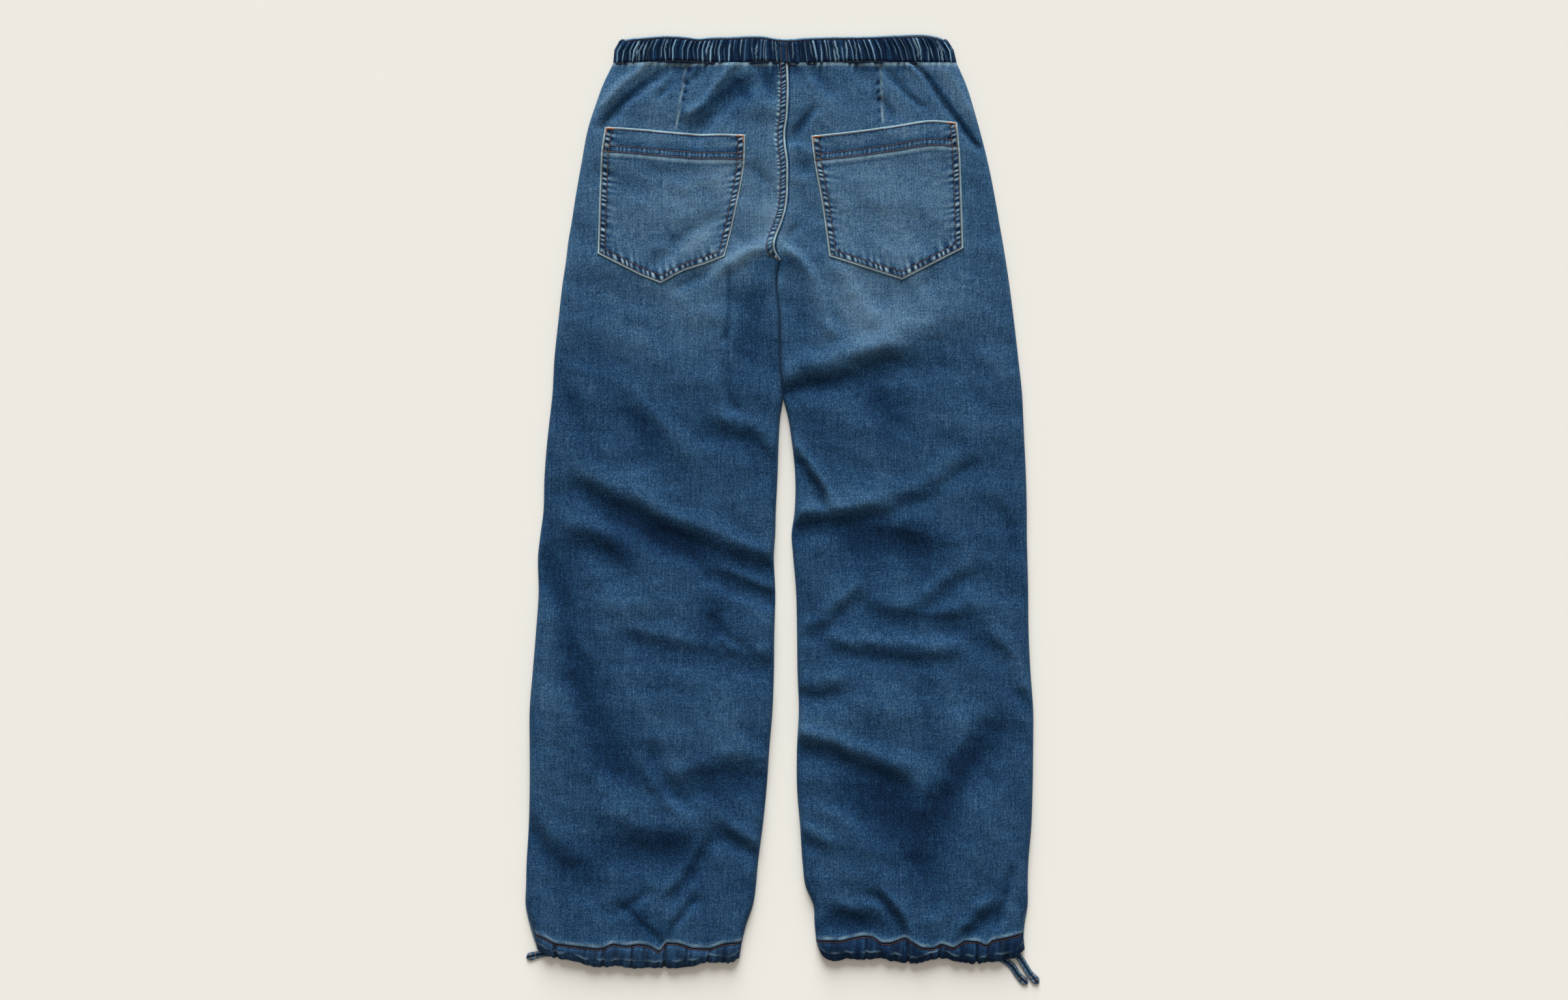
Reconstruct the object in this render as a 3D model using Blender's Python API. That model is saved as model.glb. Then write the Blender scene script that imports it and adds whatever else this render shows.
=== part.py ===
"""Baggy pull-on jeans, laid flat with the back side up and the waist towards +Y.

The frame is in metres, +Z up. The origin is under the middle of the garment, on the surface that
it lies on. All sizes below are millimetres. Each leg is a flattened tube: a front panel that lies
flat on the surface with its edges curling up, and a back panel over it that carries the folds and
rolls down to meet the front along both sides of the leg.
"""
from collections import namedtuple

import bmesh
import bpy
import numpy as np
from mathutils import Vector

MM = 0.001

# Cloth and seams.
DENIM = 1.4                 # one layer of cloth
CASING = 2.4                # cloth turned over on itself, at the waist and the hems
POCKET_CLOTH = 1.6
POCKET_HEM_STEP = 0.7       # the pocket's top is folded over once more
SEAM_GAP = 0.3              # between pieces that are sewn to each other
JOINT_HEIGHT = 3.0          # where a back piece's rolled edge comes down to a front piece
LOWEST_TOP = 4.3            # a back panel lies on the front panel in its deepest troughs
FELL_WIDTH = 8.5            # raised strip of the felled centre-back seam
FELL_STEP = 1.0

# Lengths along the garment.
WAIST_SEAM = 487.0
WAIST_TOP = 515.5
WAIST_DIP = 1.8             # the waist's top edge is this much lower at the centre
CROTCH = 269.0
HEM_SEAM = -487.0           # mean height of the line where the hem casings start
HEM_BLEND = 60.0            # the rows of a panel bend to follow its hem seam over this length
HEM_GAP = 0.5               # between a panel's last row and its hem casing
HEM_FRONT_EDGE = -499.0     # the front of a hem stops short of the edge of its back

# How the pieces are divided into faces.
PANEL_ROWS = 64
FRONT_ROWS = 20
PANEL_COLUMNS = 14
OUTER_ROLL = (0.0, 1.2, 4.2, 9.5)       # distances from a leg's edge, over its rolled side
INNER_ROLL = (0.0, 1.0, 3.6, 8.0)
FELL_COLUMNS = (0.0, 4.2, FELL_WIDTH - 0.3, FELL_WIDTH + 0.9)
CURL_TOP = 2.7
CURL = ((0.0, CURL_TOP), (0.4, 1.1), (2.4, 0.0))    # inset and height under a front piece's edge
CURL_INSIDE = (1.4, 1.6, 2.8)                       # insets of the same points on its upper side
CUT_SNAP = 0.05
SHARP_ANGLE = 0.9           # radians; flatter edges are shaded smooth

WAIST_PLEATS = 60
WAIST_PLEAT_HEIGHT = 1.3
WAIST_LEAN = 2.0            # how far a pleat leans between the band's two edges
# Share of the band's depth, height of its plain top and share of the pleats' height.
WAIST_PROFILE = [(0.0, 7.2, 0.4), (0.22, 7.8, 1.0), (0.78, 7.6, 1.0), (0.88, 6.8, 0.4),
                 (1.0, 5.7, 0.5)]
WAIST_ENDS = [(0.0, -183, 196), (0.5, -181.8, 192.6), (0.85, -176, 186), (1.0, -168, 180)]
HEM_GATHER_HEIGHT = 1.5
# Share of the way down a hem casing, its fullness and the share of the gathers' height.
HEM_PROFILE = [(0.0, 0.0, 0.0), (0.3, 0.6, 1.0), (0.7, 0.5, 0.8), (1.0, 0.0, 0.35)]
HEM_SCALLOP = 1.1

Section = namedtuple("Section", "y left_outer left_inner right_inner right_outer loft")
SECTIONS = [
    Section(487, -183, 9, 9, 196, 7),
    Section(462, -195, 10.5, 10.5, 207, 8),
    Section(440, -203, 10, 10, 214, 8.5),
    Section(419, -210, 8, 8, 220, 9),
    Section(376, -218.5, 9.5, 9.5, 231, 9),
    Section(333, -226, 9, 9, 239.5, 9),
    Section(307, -230, 2, 2, 244, 9),
    Section(290, -233, -4, -4, 247, 9.5),
    Section(269, -235.5, 0, 0, 250.5, 10),
    Section(246, -239, -3, -3, 254, 10),
    Section(203, -244, 0.5, 0.5, 259.5, 10),
    Section(160, -248.5, 1, 1, 264.5, 10),
    Section(117, -251, 4.5, 4.5, 269, 10),
    Section(95, -253.5, 1, 10, 270, 10),
    Section(73, -256, -0.5, 13.5, 271, 10),
    Section(30, -259.5, -2, 18, 273, 10),
    Section(-13, -261, -4, 17, 274, 10),
    Section(-35, -264, -4.5, 14, 274, 10),
    Section(-56, -266.5, -6, 15.5, 274.5, 10),
    Section(-99, -266, -4.5, 19, 275.5, 10),
    Section(-143, -269, -5.5, 20, 276, 10.5),
    Section(-186, -272.5, -6, 20.5, 278, 10.5),
    Section(-229, -276, -7.5, 22, 281, 11),
    Section(-272, -276, -11, 20, 281, 11),
    Section(-315, -276, -14, 20, 280.5, 11),
    Section(-359, -277, -18.5, 23.5, 279, 11),
    Section(-402, -279.5, -24, 26.5, 275.5, 11),
    Section(-425, -280, -26, 29.5, 275, 10.5),
    Section(-445, -280.5, -29, 38, 275, 10),
    Section(-467, -276, -36.5, 39.5, 271.5, 9.5),
    Section(-487, -270, -41.5, 41.5, 270, 9),
]

# The seam where each hem casing starts, and the edge where it ends, as (x, y).
HEM_LINE = {
    "left": [(-271, -476.5), (-257, -482), (-249, -487), (-228, -490), (-202, -493),
             (-184, -488), (-154, -487.5), (-144, -489.5), (-131.5, -496), (-122, -487),
             (-112, -487), (-96, -492), (-77, -493), (-62, -487.7), (-41, -485.5)],
    "right": [(41, -484), (68, -484.3), (92, -479.2), (104, -480), (115, -486.8), (125, -486),
              (140, -481.2), (158, -492), (192, -492), (205, -484.7), (220, -485.3),
              (230, -489), (238, -484), (255, -480), (270, -476)],
}
HEM_EDGE = {
    "left": [(-268, -494), (-262, -498), (-254, -501.5), (-245, -504), (-228, -507.5), (-212, -512),
             (-195, -514.5), (-163, -515.5), (-145, -514.5), (-100, -514), (-86, -510),
             (-66, -509), (-50, -507), (-44, -503)],
    "right": [(43, -491), (47, -500), (54, -506), (76, -504.8), (96, -506), (113, -504.3),
              (125, -507), (154, -509.5), (168, -506), (185, -505.5), (196, -508), (226, -509),
              (252, -506), (265, -501), (272, -494)],
}

# Inner and outer ends of a hem's front, at its seam and at its edge.
HEM_FRONT_SIDES = {"left": [(-45, -252), (-57, -215)], "right": [(45, 262), (52, 236)]}

# A wave is a fold that stands up on one side of its path and sinks on the other, the right-hand
# side on the way from the first point to the last. `lit` and `shaded` are how far from the path
# the crest and the bottom lie.
Wave = namedtuple("Wave", "lit shaded rise sink path")
WAVES = {
    "left": [
        Wave(17, 20, 6.5, 6, [(-262, 42), (-195, 11), (-152, -17), (-98, -42), (-51, -56), (25, -72)]),
        Wave(9, 13, 2.5, 3, [(-250, -30), (-203, -43), (-170, -56), (-145, -84)]),
        Wave(8, 9, 3, 3, [(-52, -80), (-23, -96), (14, -112)]),
        Wave(13, 14, 4, 4, [(-165, -140), (-116, -153), (-87, -164), (-55, -171), (-10, -168)]),
        Wave(12, 15, 3, 4, [(-270, -340), (-239, -387), (-205, -428)]),
        Wave(14, 22, 4, 6, [(-210, -350), (-159, -373), (-127, -379), (-80, -364)]),
        Wave(12, 16, 4, 5, [(-110, -308), (-73, -292), (-41, -294), (8, -312)]),
        Wave(10, 12, 3, 4, [(-80, -346), (-44, -369), (0, -402)]),
        Wave(8, 9, 3, 3, [(-158, -258), (-138, -297), (-112, -338)]),
        Wave(10, 12, 3.5, 4, [(-140, -450), (-109, -422), (-84, -378)]),
        Wave(10, 11, 3.5, 4, [(-92, 78), (-51, 72), (-23, 70), (10, 42)]),
    ],
    "right": [
        Wave(15, 16, 6.5, 6, [(-30, 128), (31, 132), (75, 140), (111, 161), (147, 178), (183, 196),
                              (225, 224)]),
        Wave(10, 9, 3.5, 4, [(8, 54), (37, 30), (57, -8)]),
        Wave(16, 15, 6.5, 5, [(-20, -26), (46, -21), (96, -20), (136, -6), (165, 17), (193, 37),
                              (240, 60)]),
        Wave(10, 14, 2.5, 4, [(62, -34), (111, -48), (147, -50), (183, -45), (214, -24)]),
        Wave(8, 9, 3, 3, [(142, -116), (175, -91), (212, -66)]),
        Wave(12, 10, 4, 3.5, [(22, -146), (57, -122), (82, -103), (102, -76)]),
        Wave(10, 10, 2.5, 3.5, [(116, -106), (147, -125), (175, -127), (204, -117), (240, -96)]),
        Wave(12, 12, 4.5, 4.5, [(55, -153), (103, -161), (147, -163), (190, -164), (232, -152)]),
        Wave(8, 9, 3, 4, [(0, -196), (39, -200), (72, -194)]),
        Wave(18, 22, 6, 5, [(-5, -260), (67, -276), (111, -294), (160, -316)]),
        Wave(8, 9, 2.5, 4, [(5, -358), (47, -374), (76, -396)]),
        Wave(9, 9, 2.5, 3, [(238, -165), (262, -197), (295, -226)]),
    ],
}

# A crease is a ridge along its path, or with a negative rise a groove.
Crease = namedtuple("Crease", "width rise path")
CREASES = {
    "left": [
        Crease(14, -4.5, [(-272, -50), (-246, -100), (-233, -150), (-223, -200), (-211, -243),
                          (-195, -286), (-160, -318)]),
        Crease(8, -3, [(-94, -434), (-109, -463), (-125, -495)]),
        Crease(8, -3, [(-162, -444), (-141, -477), (-128, -500)]),
        Crease(14, -3.5, [(-186, 96), (-149, 73), (-118, 32)]),
        Crease(9, -2, [(-69, 275), (-55, 232), (-57, 196), (-67, 153), (-61, 117), (-47, 85)]),
        Crease(8, -3.5, [(-92, 500), (-122, 479), (-157, 455), (-178, 433), (-204, 406)]),
        Crease(9, -5, [(-18, 484), (-42, 470), (-60, 459), (-75, 445), (-92, 426), (-112, 402)]),
        Crease(9, 3.5, [(14, 306), (-3, 291), (-33, 276), (-64, 260), (-88, 250)]),
    ],
    "right": [
        Crease(13, -2.5, [(100, 106), (129, 84), (147, 50)]),
        Crease(19, -5, [(250, -222), (215, -272), (183, -315), (157, -359), (152, -418)]),
        Crease(12, 3, [(16, -318), (67, -353), (103, -387), (156, -424)]),
        Crease(13, -4, [(44, -394), (75, -431), (106, -462)]),
        Crease(8, -4, [(98, -418), (125, -444), (139, -467), (156, -500)]),
        Crease(12, -4, [(240, -442), (211, -470), (182, -494)]),
        Crease(8, -2.5, [(262, -398), (247, -438), (238, -475)]),
        Crease(9, -2.5, [(245, -8), (253, -45), (280, -76)]),
        Crease(8, -4, [(142, 504), (160, 482), (174, 460), (190, 437), (207, 408), (222, 376)]),
        Crease(7, -3, [(112, 504), (130, 487), (147, 470), (170, 453)]),
        Crease(7, -3, [(42, 444), (36, 434), (21, 410), (12, 394)]),
        Crease(9, 3.5, [(-10, 288), (14, 279), (30, 262), (40, 236), (50, 205), (60, 172)]),
        Crease(10, -3, [(5, 272), (15, 232), (21, 196), (30, 156)]),
        Crease(9, 2, [(60, 275), (82, 232), (118, 186)]),
    ],
}

# Pocket corners on the panel, in order, and the two ends of each pocket's hem line.
POCKETS = {
    "left": {"corners": [(-193, 416), (-37, 407), (-60, 272), (-131, 242), (-201, 275)],
             "hem": [(-197, 388), (-39, 380)]},
    "right": {"corners": [(35, 406), (197, 421), (204, 281), (136, 246), (55, 272)],
              "hem": [(39, 379), (198, 394)]},
}

# Free ends of the flat hem drawstrings, from under the hem out over the surface.
TIE_WIDTH = 7.8
TIE_THICKNESS = 2.2
TIE_LIFT = 0.1
TIES = {
    "tie_left": [(-233, -499), (-249, -499.2), (-260, -499.5), (-270, -501.5), (-280, -504)],
    "tie_right_inner": [(240, -503), (249, -507), (255, -511), (260, -516), (263, -521),
                        (267, -526), (275.2, -533)],
    "tie_right_outer": [(255, -499), (265, -503), (272, -513), (277, -521), (283, -528),
                        (287, -533)],
}

SEAT_BLUE = (0.105, 0.19, 0.30, 1.0)
LEG_BLUE = (0.04, 0.105, 0.205, 1.0)
GATHER_BLUE = (0.03, 0.06, 0.125, 1.0)
DENIM_ROUGHNESS = 0.9


def smoothstep(t):
    t = np.clip(t, 0.0, 1.0)
    return t * t * (3.0 - 2.0 * t)


def through(knots, values, at):
    """Smooth curve through (knots, values), knots rising, read at each of `at`."""
    knots = np.asarray(knots, float)
    values = np.asarray(values, float)
    slopes = np.gradient(values, knots)
    at = np.clip(at, knots[0], knots[-1])
    i = np.clip(np.searchsorted(knots, at, side="right") - 1, 0, len(knots) - 2)
    step = knots[i + 1] - knots[i]
    t = (at - knots[i]) / step
    return ((2 * t**3 - 3 * t**2 + 1) * values[i] + (t**3 - 2 * t**2 + t) * step * slopes[i]
            + (3 * t**2 - 2 * t**3) * values[i + 1] + (t**3 - t**2) * step * slopes[i + 1])


def section_value(column, y):
    """One column of the section table, read at the heights y."""
    rising = SECTIONS[::-1]
    return through([s.y for s in rising], [getattr(s, column) for s in rising], np.asarray(y, float))


def smooth_path(points, parts=6):
    """The points of a curve through a path's own points."""
    points = np.asarray(points, float)
    run = np.concatenate([[0.0], np.cumsum(np.linalg.norm(np.diff(points, axis=0), axis=1))])
    at = np.linspace(0.0, run[-1], parts * (len(points) - 1) + 1)
    return np.stack([through(run, points[:, k], at) for k in range(points.shape[1])], axis=1)


def along_and_off(path, x, y):
    """For each (x, y): how far along the path it is, 0 to 1, and its distance, right side positive."""
    route = smooth_path(path)
    starts, steps = route[:-1], np.diff(route, axis=0)
    lengths = np.linalg.norm(steps, axis=1)
    before = np.concatenate([[0.0], np.cumsum(lengths)])
    best = np.full(np.shape(x), np.inf)
    along = np.zeros(np.shape(x))
    off = np.zeros(np.shape(x))
    for (sx, sy), (dx, dy), length, run in zip(starts, steps, lengths, before):
        px, py = x - sx, y - sy
        t = np.clip((px * dx + py * dy) / length**2, 0.0, 1.0)
        distance = np.hypot(px - t * dx, py - t * dy)
        side = np.where(px * dy - py * dx >= 0.0, 1.0, -1.0)
        nearer = distance < best
        best = np.where(nearer, distance, best)
        along = np.where(nearer, (run + t * length) / before[-1], along)
        off = np.where(nearer, side * distance, off)
    return along, off


def taper(along):
    return smoothstep(along / 0.28) * smoothstep((1.0 - along) / 0.28)


def swell(t):
    """0 at t = 0, 1 at t = 1, fading beyond."""
    return t * np.exp((1.0 - t * t) / 2.0)


def folds(leg, x, y):
    """Height that the folds of one leg's back panel add at (x, y)."""
    height = np.zeros(np.shape(x))
    for wave in WAVES[leg]:
        along, off = along_and_off(wave.path, x, y)
        up = wave.rise * swell(np.maximum(-off, 0.0) / wave.lit)
        down = wave.sink * swell(np.maximum(off, 0.0) / wave.shaded)
        height += taper(along) * (up - down)
    for crease in CREASES[leg]:
        along, off = along_and_off(crease.path, x, y)
        height += taper(along) * crease.rise * np.exp(-(off / crease.width) ** 2)
    return height


def below_crotch(y):
    """0 on the seat, where the two panels are one sheet, 1 where the leg has its own inner edge."""
    return smoothstep((CROTCH + 8.0 - y) / 34.0)


def outline(leg, y):
    """Inner and outer edge of a leg at the heights y, with the seam's gap taken off."""
    left, right = section_value("left_inner", y), section_value("right_inner", y)
    middle = (left + right) / 2
    outer = section_value(leg + "_outer", y)
    if leg == "left":
        return np.minimum(left, middle) - SEAM_GAP / 2, outer
    return np.maximum(right, middle) + SEAM_GAP / 2, outer


def bend_to_hem(leg, x, y):
    """Moves rows near the hem so that the last one follows the hem seam."""
    points = np.array(HEM_LINE[leg], float)
    shift = np.interp(x, points[:, 0], points[:, 1]) - HEM_SEAM
    return y + smoothstep((HEM_SEAM + HEM_BLEND - y) / HEM_BLEND) * shift


def roll(distance, width):
    """Quarter round: 0 at a leg's edge, 1 at `width` from it."""
    t = np.clip(distance / width, 0.0, 1.0)
    return np.sqrt(1.0 - (1.0 - t) ** 2)


def back_panel_surface(leg):
    """Rows by columns of points on the top of a leg's back panel."""
    rows = np.linspace(WAIST_SEAM, HEM_SEAM, PANEL_ROWS + 1)
    inner, outer = outline(leg, rows)
    outwards = np.sign(outer - inner)[:, None]
    width = np.abs(outer - inner)[:, None]
    turned = below_crotch(rows)[:, None]
    seat_columns = FELL_COLUMNS if leg == "left" else INNER_ROLL
    near = turned * np.array(INNER_ROLL) + (1.0 - turned) * np.array(seat_columns)
    far = width - np.array(OUTER_ROLL[::-1])
    share = np.linspace(0.0, 1.0, PANEL_COLUMNS + 1)[1:-1]
    middle = near[:, -1:] + (far[:, :1] - near[:, -1:]) * share
    inset = np.concatenate([near, middle, far], axis=1)
    x = inner[:, None] + outwards * inset
    y = bend_to_hem(leg, x, np.repeat(rows[:, None], x.shape[1], axis=1))
    top = np.maximum(section_value("loft", y) + folds(leg, x, y), LOWEST_TOP)
    drop = top - JOINT_HEIGHT
    z = JOINT_HEIGHT + drop * roll(width - inset, OUTER_ROLL[-1])
    z -= turned * drop * (1.0 - roll(inset, INNER_ROLL[-1]))
    if leg == "left":
        z += (1.0 - turned) * FELL_STEP * (inset < FELL_WIDTH)
    return np.stack([x, y, z], axis=2)


def inner_surface(outer, thickness, turned_start, turned_end):
    """The other side of a wall. A turned edge is upright, and the two ends are cut straight down."""
    across = np.gradient(outer, axis=1)
    down = np.gradient(outer, axis=0)
    normal = np.cross(across, down)
    normal *= np.sign(normal[:, :, 2:3])
    normal[0, :, 1] = 0.0
    normal[-1, :, 1] = 0.0
    normal /= np.linalg.norm(normal, axis=2, keepdims=True)
    outwards = np.sign(outer[:, -1, 0] - outer[:, 0, 0])
    for column, way, turned in ((0, -outwards, turned_start), (-1, outwards, turned_end)):
        level = np.zeros((len(outer), 3))
        level[:, 0] = way * turned
        level[:, 2] = 1.0 - turned
        normal[:, column] = level / np.linalg.norm(level, axis=1, keepdims=True)
    inner = outer - thickness * normal
    for row in (0, -1):
        order = np.argsort(outer[row, :, 0])
        inner[row, :, 1] = np.interp(inner[row, :, 0], outer[row, order, 0], outer[row, order, 1])
    return inner


def material(name, colour):
    cloth = bpy.data.materials.new(name)
    cloth.use_nodes = True
    shader = cloth.node_tree.nodes["Principled BSDF"]
    shader.inputs["Base Color"].default_value = colour
    shader.inputs["Roughness"].default_value = DENIM_ROUGHNESS
    shader.inputs["Metallic"].default_value = 0.0
    return cloth


def add_object(name, vertices, faces, cloth):
    """A named object from millimetre points, with its faces turned outwards."""
    mesh = bpy.data.meshes.new(name)
    mesh.from_pydata([Vector(v) * MM for v in vertices], [], faces)
    mesh.materials.append(cloth)
    shape = bmesh.new()
    shape.from_mesh(mesh)
    bmesh.ops.recalc_face_normals(shape, faces=shape.faces)
    if shape.calc_volume(signed=True) < 0.0:
        bmesh.ops.reverse_faces(shape, faces=shape.faces)
    shape.to_mesh(mesh)
    shape.free()
    mesh.shade_smooth()
    mesh.set_sharp_from_angle(angle=SHARP_ANGLE)
    piece = bpy.data.objects.new(name, mesh)
    bpy.context.scene.collection.objects.link(piece)
    return piece


def grid_triangles(points):
    """The triangles of a grid of points, each quad split along its more level diagonal."""
    rows, columns = points.shape[:2]
    z = points[:, :, 2]
    level = np.abs(z[:-1, :-1] - z[1:, 1:]) <= np.abs(z[:-1, 1:] - z[1:, :-1])
    triangles = []
    for r in range(rows - 1):
        for c in range(columns - 1):
            a, b = r * columns + c, r * columns + c + 1
            if level[r, c]:
                triangles += [(a, b, b + columns), (a, b + columns, a + columns)]
            else:
                triangles += [(a, b, a + columns), (b, b + columns, a + columns)]
    return triangles


def close_wall(name, outer, inner, triangles, border, cloth):
    """A closed wall between two lists of matching points, joined along their border edges."""
    count = len(outer)
    faces = list(triangles) + [tuple(count + v for v in reversed(t)) for t in triangles]
    for a, b in border:
        faces += [(b, a, count + a), (b, count + a, count + b)]
    return add_object(name, list(outer) + list(inner), faces, cloth)


def wall(name, outer, inner, cloth):
    """A closed wall between two grids of points."""
    rows, columns = outer.shape[:2]
    ring = list(range(columns))
    ring += [r * columns + columns - 1 for r in range(1, rows)]
    ring += [(rows - 1) * columns + c for c in range(columns - 2, -1, -1)]
    ring += [r * columns for r in range(rows - 2, 0, -1)]
    border = list(zip(ring, ring[1:] + ring[:1]))
    return close_wall(name, outer.reshape(-1, 3).tolist(), inner.reshape(-1, 3).tolist(),
                      grid_triangles(outer), border, cloth)


def back_panel(leg, cloth):
    surface = back_panel_surface(leg)
    turned = below_crotch(surface[:, 0, 1])
    wall("back_" + leg, surface, inner_surface(surface, DENIM, turned, 1.0), cloth)
    return surface


def flat_piece(name, rows, starts, ends, thickness, start_curl, cloth):
    """A piece that lies flat. Its end edge curls up, and its start edge by the share start_curl."""
    inside_heights = [CURL_TOP, CURL_TOP - 0.1, thickness]
    outwards = np.sign(ends[0] - starts[0])
    upper, under = [], []
    for y, start, end, share in zip(rows, starts, ends, start_curl):
        low, high = [], []
        for edge, way, curled in ((start, outwards, share), (end, -outwards, 1.0)):
            side_low = [(edge + way * inset, y, curled * z) for inset, z in CURL]
            side_high = []
            for (inset, _), inside, z in zip(CURL, CURL_INSIDE, inside_heights):
                moved = inset + curled * (inside - inset)
                side_high.append((edge + way * moved, y, thickness + curled * (z - thickness)))
            low.append(side_low)
            high.append(side_high)
        under.append(low[0] + low[1][::-1])
        upper.append(high[0] + high[1][::-1])
    return wall(name, np.array(upper), np.array(under), cloth)


def front_panel(leg, cloth):
    rows = np.linspace(WAIST_SEAM, HEM_SEAM, FRONT_ROWS + 1)
    inner, outer = outline(leg, rows)
    flat_piece("front_" + leg, rows, inner, outer, DENIM, below_crotch(rows), cloth)


def hem_back(leg, panel, cloth):
    """The gathered casing below a back panel, started from the panel's own last row."""
    last = panel[-1]
    fine = np.linspace(0.0, len(last) - 1.0, (len(last) - 1) * 2 + 1)
    start = np.stack([np.interp(fine, np.arange(len(last)), last[:, k]) for k in range(3)], axis=1)
    start[:, 1] -= HEM_GAP
    edge = np.array(HEM_EDGE[leg], float)
    inner_end, outer_end = (edge[-1, 0], edge[0, 0]) if leg == "left" else (edge[0, 0], edge[-1, 0])
    share = (start[:, 0] - start[0, 0]) / (start[-1, 0] - start[0, 0])
    end_x = inner_end + share * (outer_end - inner_end)
    from_side = np.minimum(share, 1.0 - share) * abs(outer_end - inner_end)
    rolled = roll(from_side, OUTER_ROLL[-1])
    gather = np.where(np.arange(len(fine)) % 2 == 0, 1.0, -0.4) * smoothstep(from_side / 16.0)
    end_y = np.interp(end_x, edge[:, 0], edge[:, 1]) + HEM_SCALLOP * (1.0 - gather)
    end_z = JOINT_HEIGHT + rolled * (CASING + SEAM_GAP)
    plain, raised = [], []
    for down, fullness, waviness in HEM_PROFILE:
        row = start.copy()
        row[:, 0] += down * (end_x - start[:, 0])
        row[:, 1] += down * (end_y - start[:, 1])
        row[:, 2] += down**2.2 * (end_z - start[:, 2]) + fullness * rolled
        plain.append(row)
        lifted = row.copy()
        lifted[:, 2] += waviness * HEM_GATHER_HEIGHT * gather * rolled
        raised.append(lifted)
    below = inner_surface(np.array(plain), CASING - 0.8, 1.0, 1.0)
    wall("hem_%s_back" % leg, np.array(raised), below, cloth)


def hem_front(leg, cloth):
    """The front of a hem, flat, a little short of the edge so that a tie can lie under the back."""
    top, bottom = HEM_SEAM - SEAM_GAP, HEM_FRONT_EDGE
    (top_in, top_out), (bottom_in, bottom_out) = HEM_FRONT_SIDES[leg]
    flat_piece("hem_%s_front" % leg, [top, bottom], [top_in, bottom_in], [top_out, bottom_out],
               CASING, [1.0, 1.0], cloth)


def waistband_rows(shares):
    """Height and left and right ends of the waistband at these shares of its depth."""
    bottom = WAIST_SEAM + SEAM_GAP
    shares = np.array(shares)
    depths, lefts, rights = zip(*WAIST_ENDS)
    rows = bottom + shares * (WAIST_TOP - bottom)
    return rows, np.interp(shares, depths, lefts), np.interp(shares, depths, rights)


def waistband_back(cloth):
    """The elastic casing, gathered into narrow pleats that lean to one side."""
    count = WAIST_PLEATS * 3
    share = np.linspace(0.0, 1.0, 2001)
    uneven = WAIST_PLEATS * share + 0.35 * np.sin(33.0 * share) + 0.2 * np.sin(74.0 * share + 1.0)
    uneven = (uneven - uneven[0]) / (uneven[-1] - uneven[0])
    across = np.interp(np.linspace(0.0, 1.0, count + 1), uneven, share)
    pleat = np.arange(count + 1)
    shape = np.array([-0.7, 0.5, 1.0])[pleat % 3] * (0.8 + 0.25 * np.sin(2.3 * (pleat // 3)))
    edge = np.array(OUTER_ROLL)
    plain, raised = [], []
    shares = [row[0] for row in WAIST_PROFILE]
    for (down, top, waviness), y, left, right in zip(WAIST_PROFILE, *waistband_rows(shares)):
        near, far = left + edge, right - edge[::-1]
        middle = near[-1] + across * (far[0] - near[-1])
        x = np.concatenate([near[:-1], middle, far[1:]])
        rolled = roll(np.minimum(x - left, right - x), OUTER_ROLL[-1])
        lean = WAIST_LEAN * (down - 0.5) * np.sin((x - left) / (right - left) * 4.0 * np.pi)
        rise = np.concatenate([np.zeros(len(edge) - 1), shape, np.zeros(len(edge) - 1)])
        heights = y - WAIST_DIP * down**2 * np.exp(-(x / 70.0) ** 2)
        z = JOINT_HEIGHT + (top - JOINT_HEIGHT) * rolled
        pleated = z + waviness * WAIST_PLEAT_HEIGHT * rise
        plain.append(np.stack([x + lean * rolled, heights, z], axis=1))
        raised.append(np.stack([x + lean * rolled, heights, pleated], axis=1))
    below = inner_surface(np.array(plain), CASING - 0.6, 1.0, 1.0)
    wall("waistband_back", np.array(raised), below, cloth)


def waistband_front(cloth):
    rows, lefts, rights = waistband_rows([0.0, 0.45, 0.75, 0.9])
    flat_piece("waistband_front", rows, lefts, rights, CASING, np.ones(len(rows)), cloth)


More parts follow.
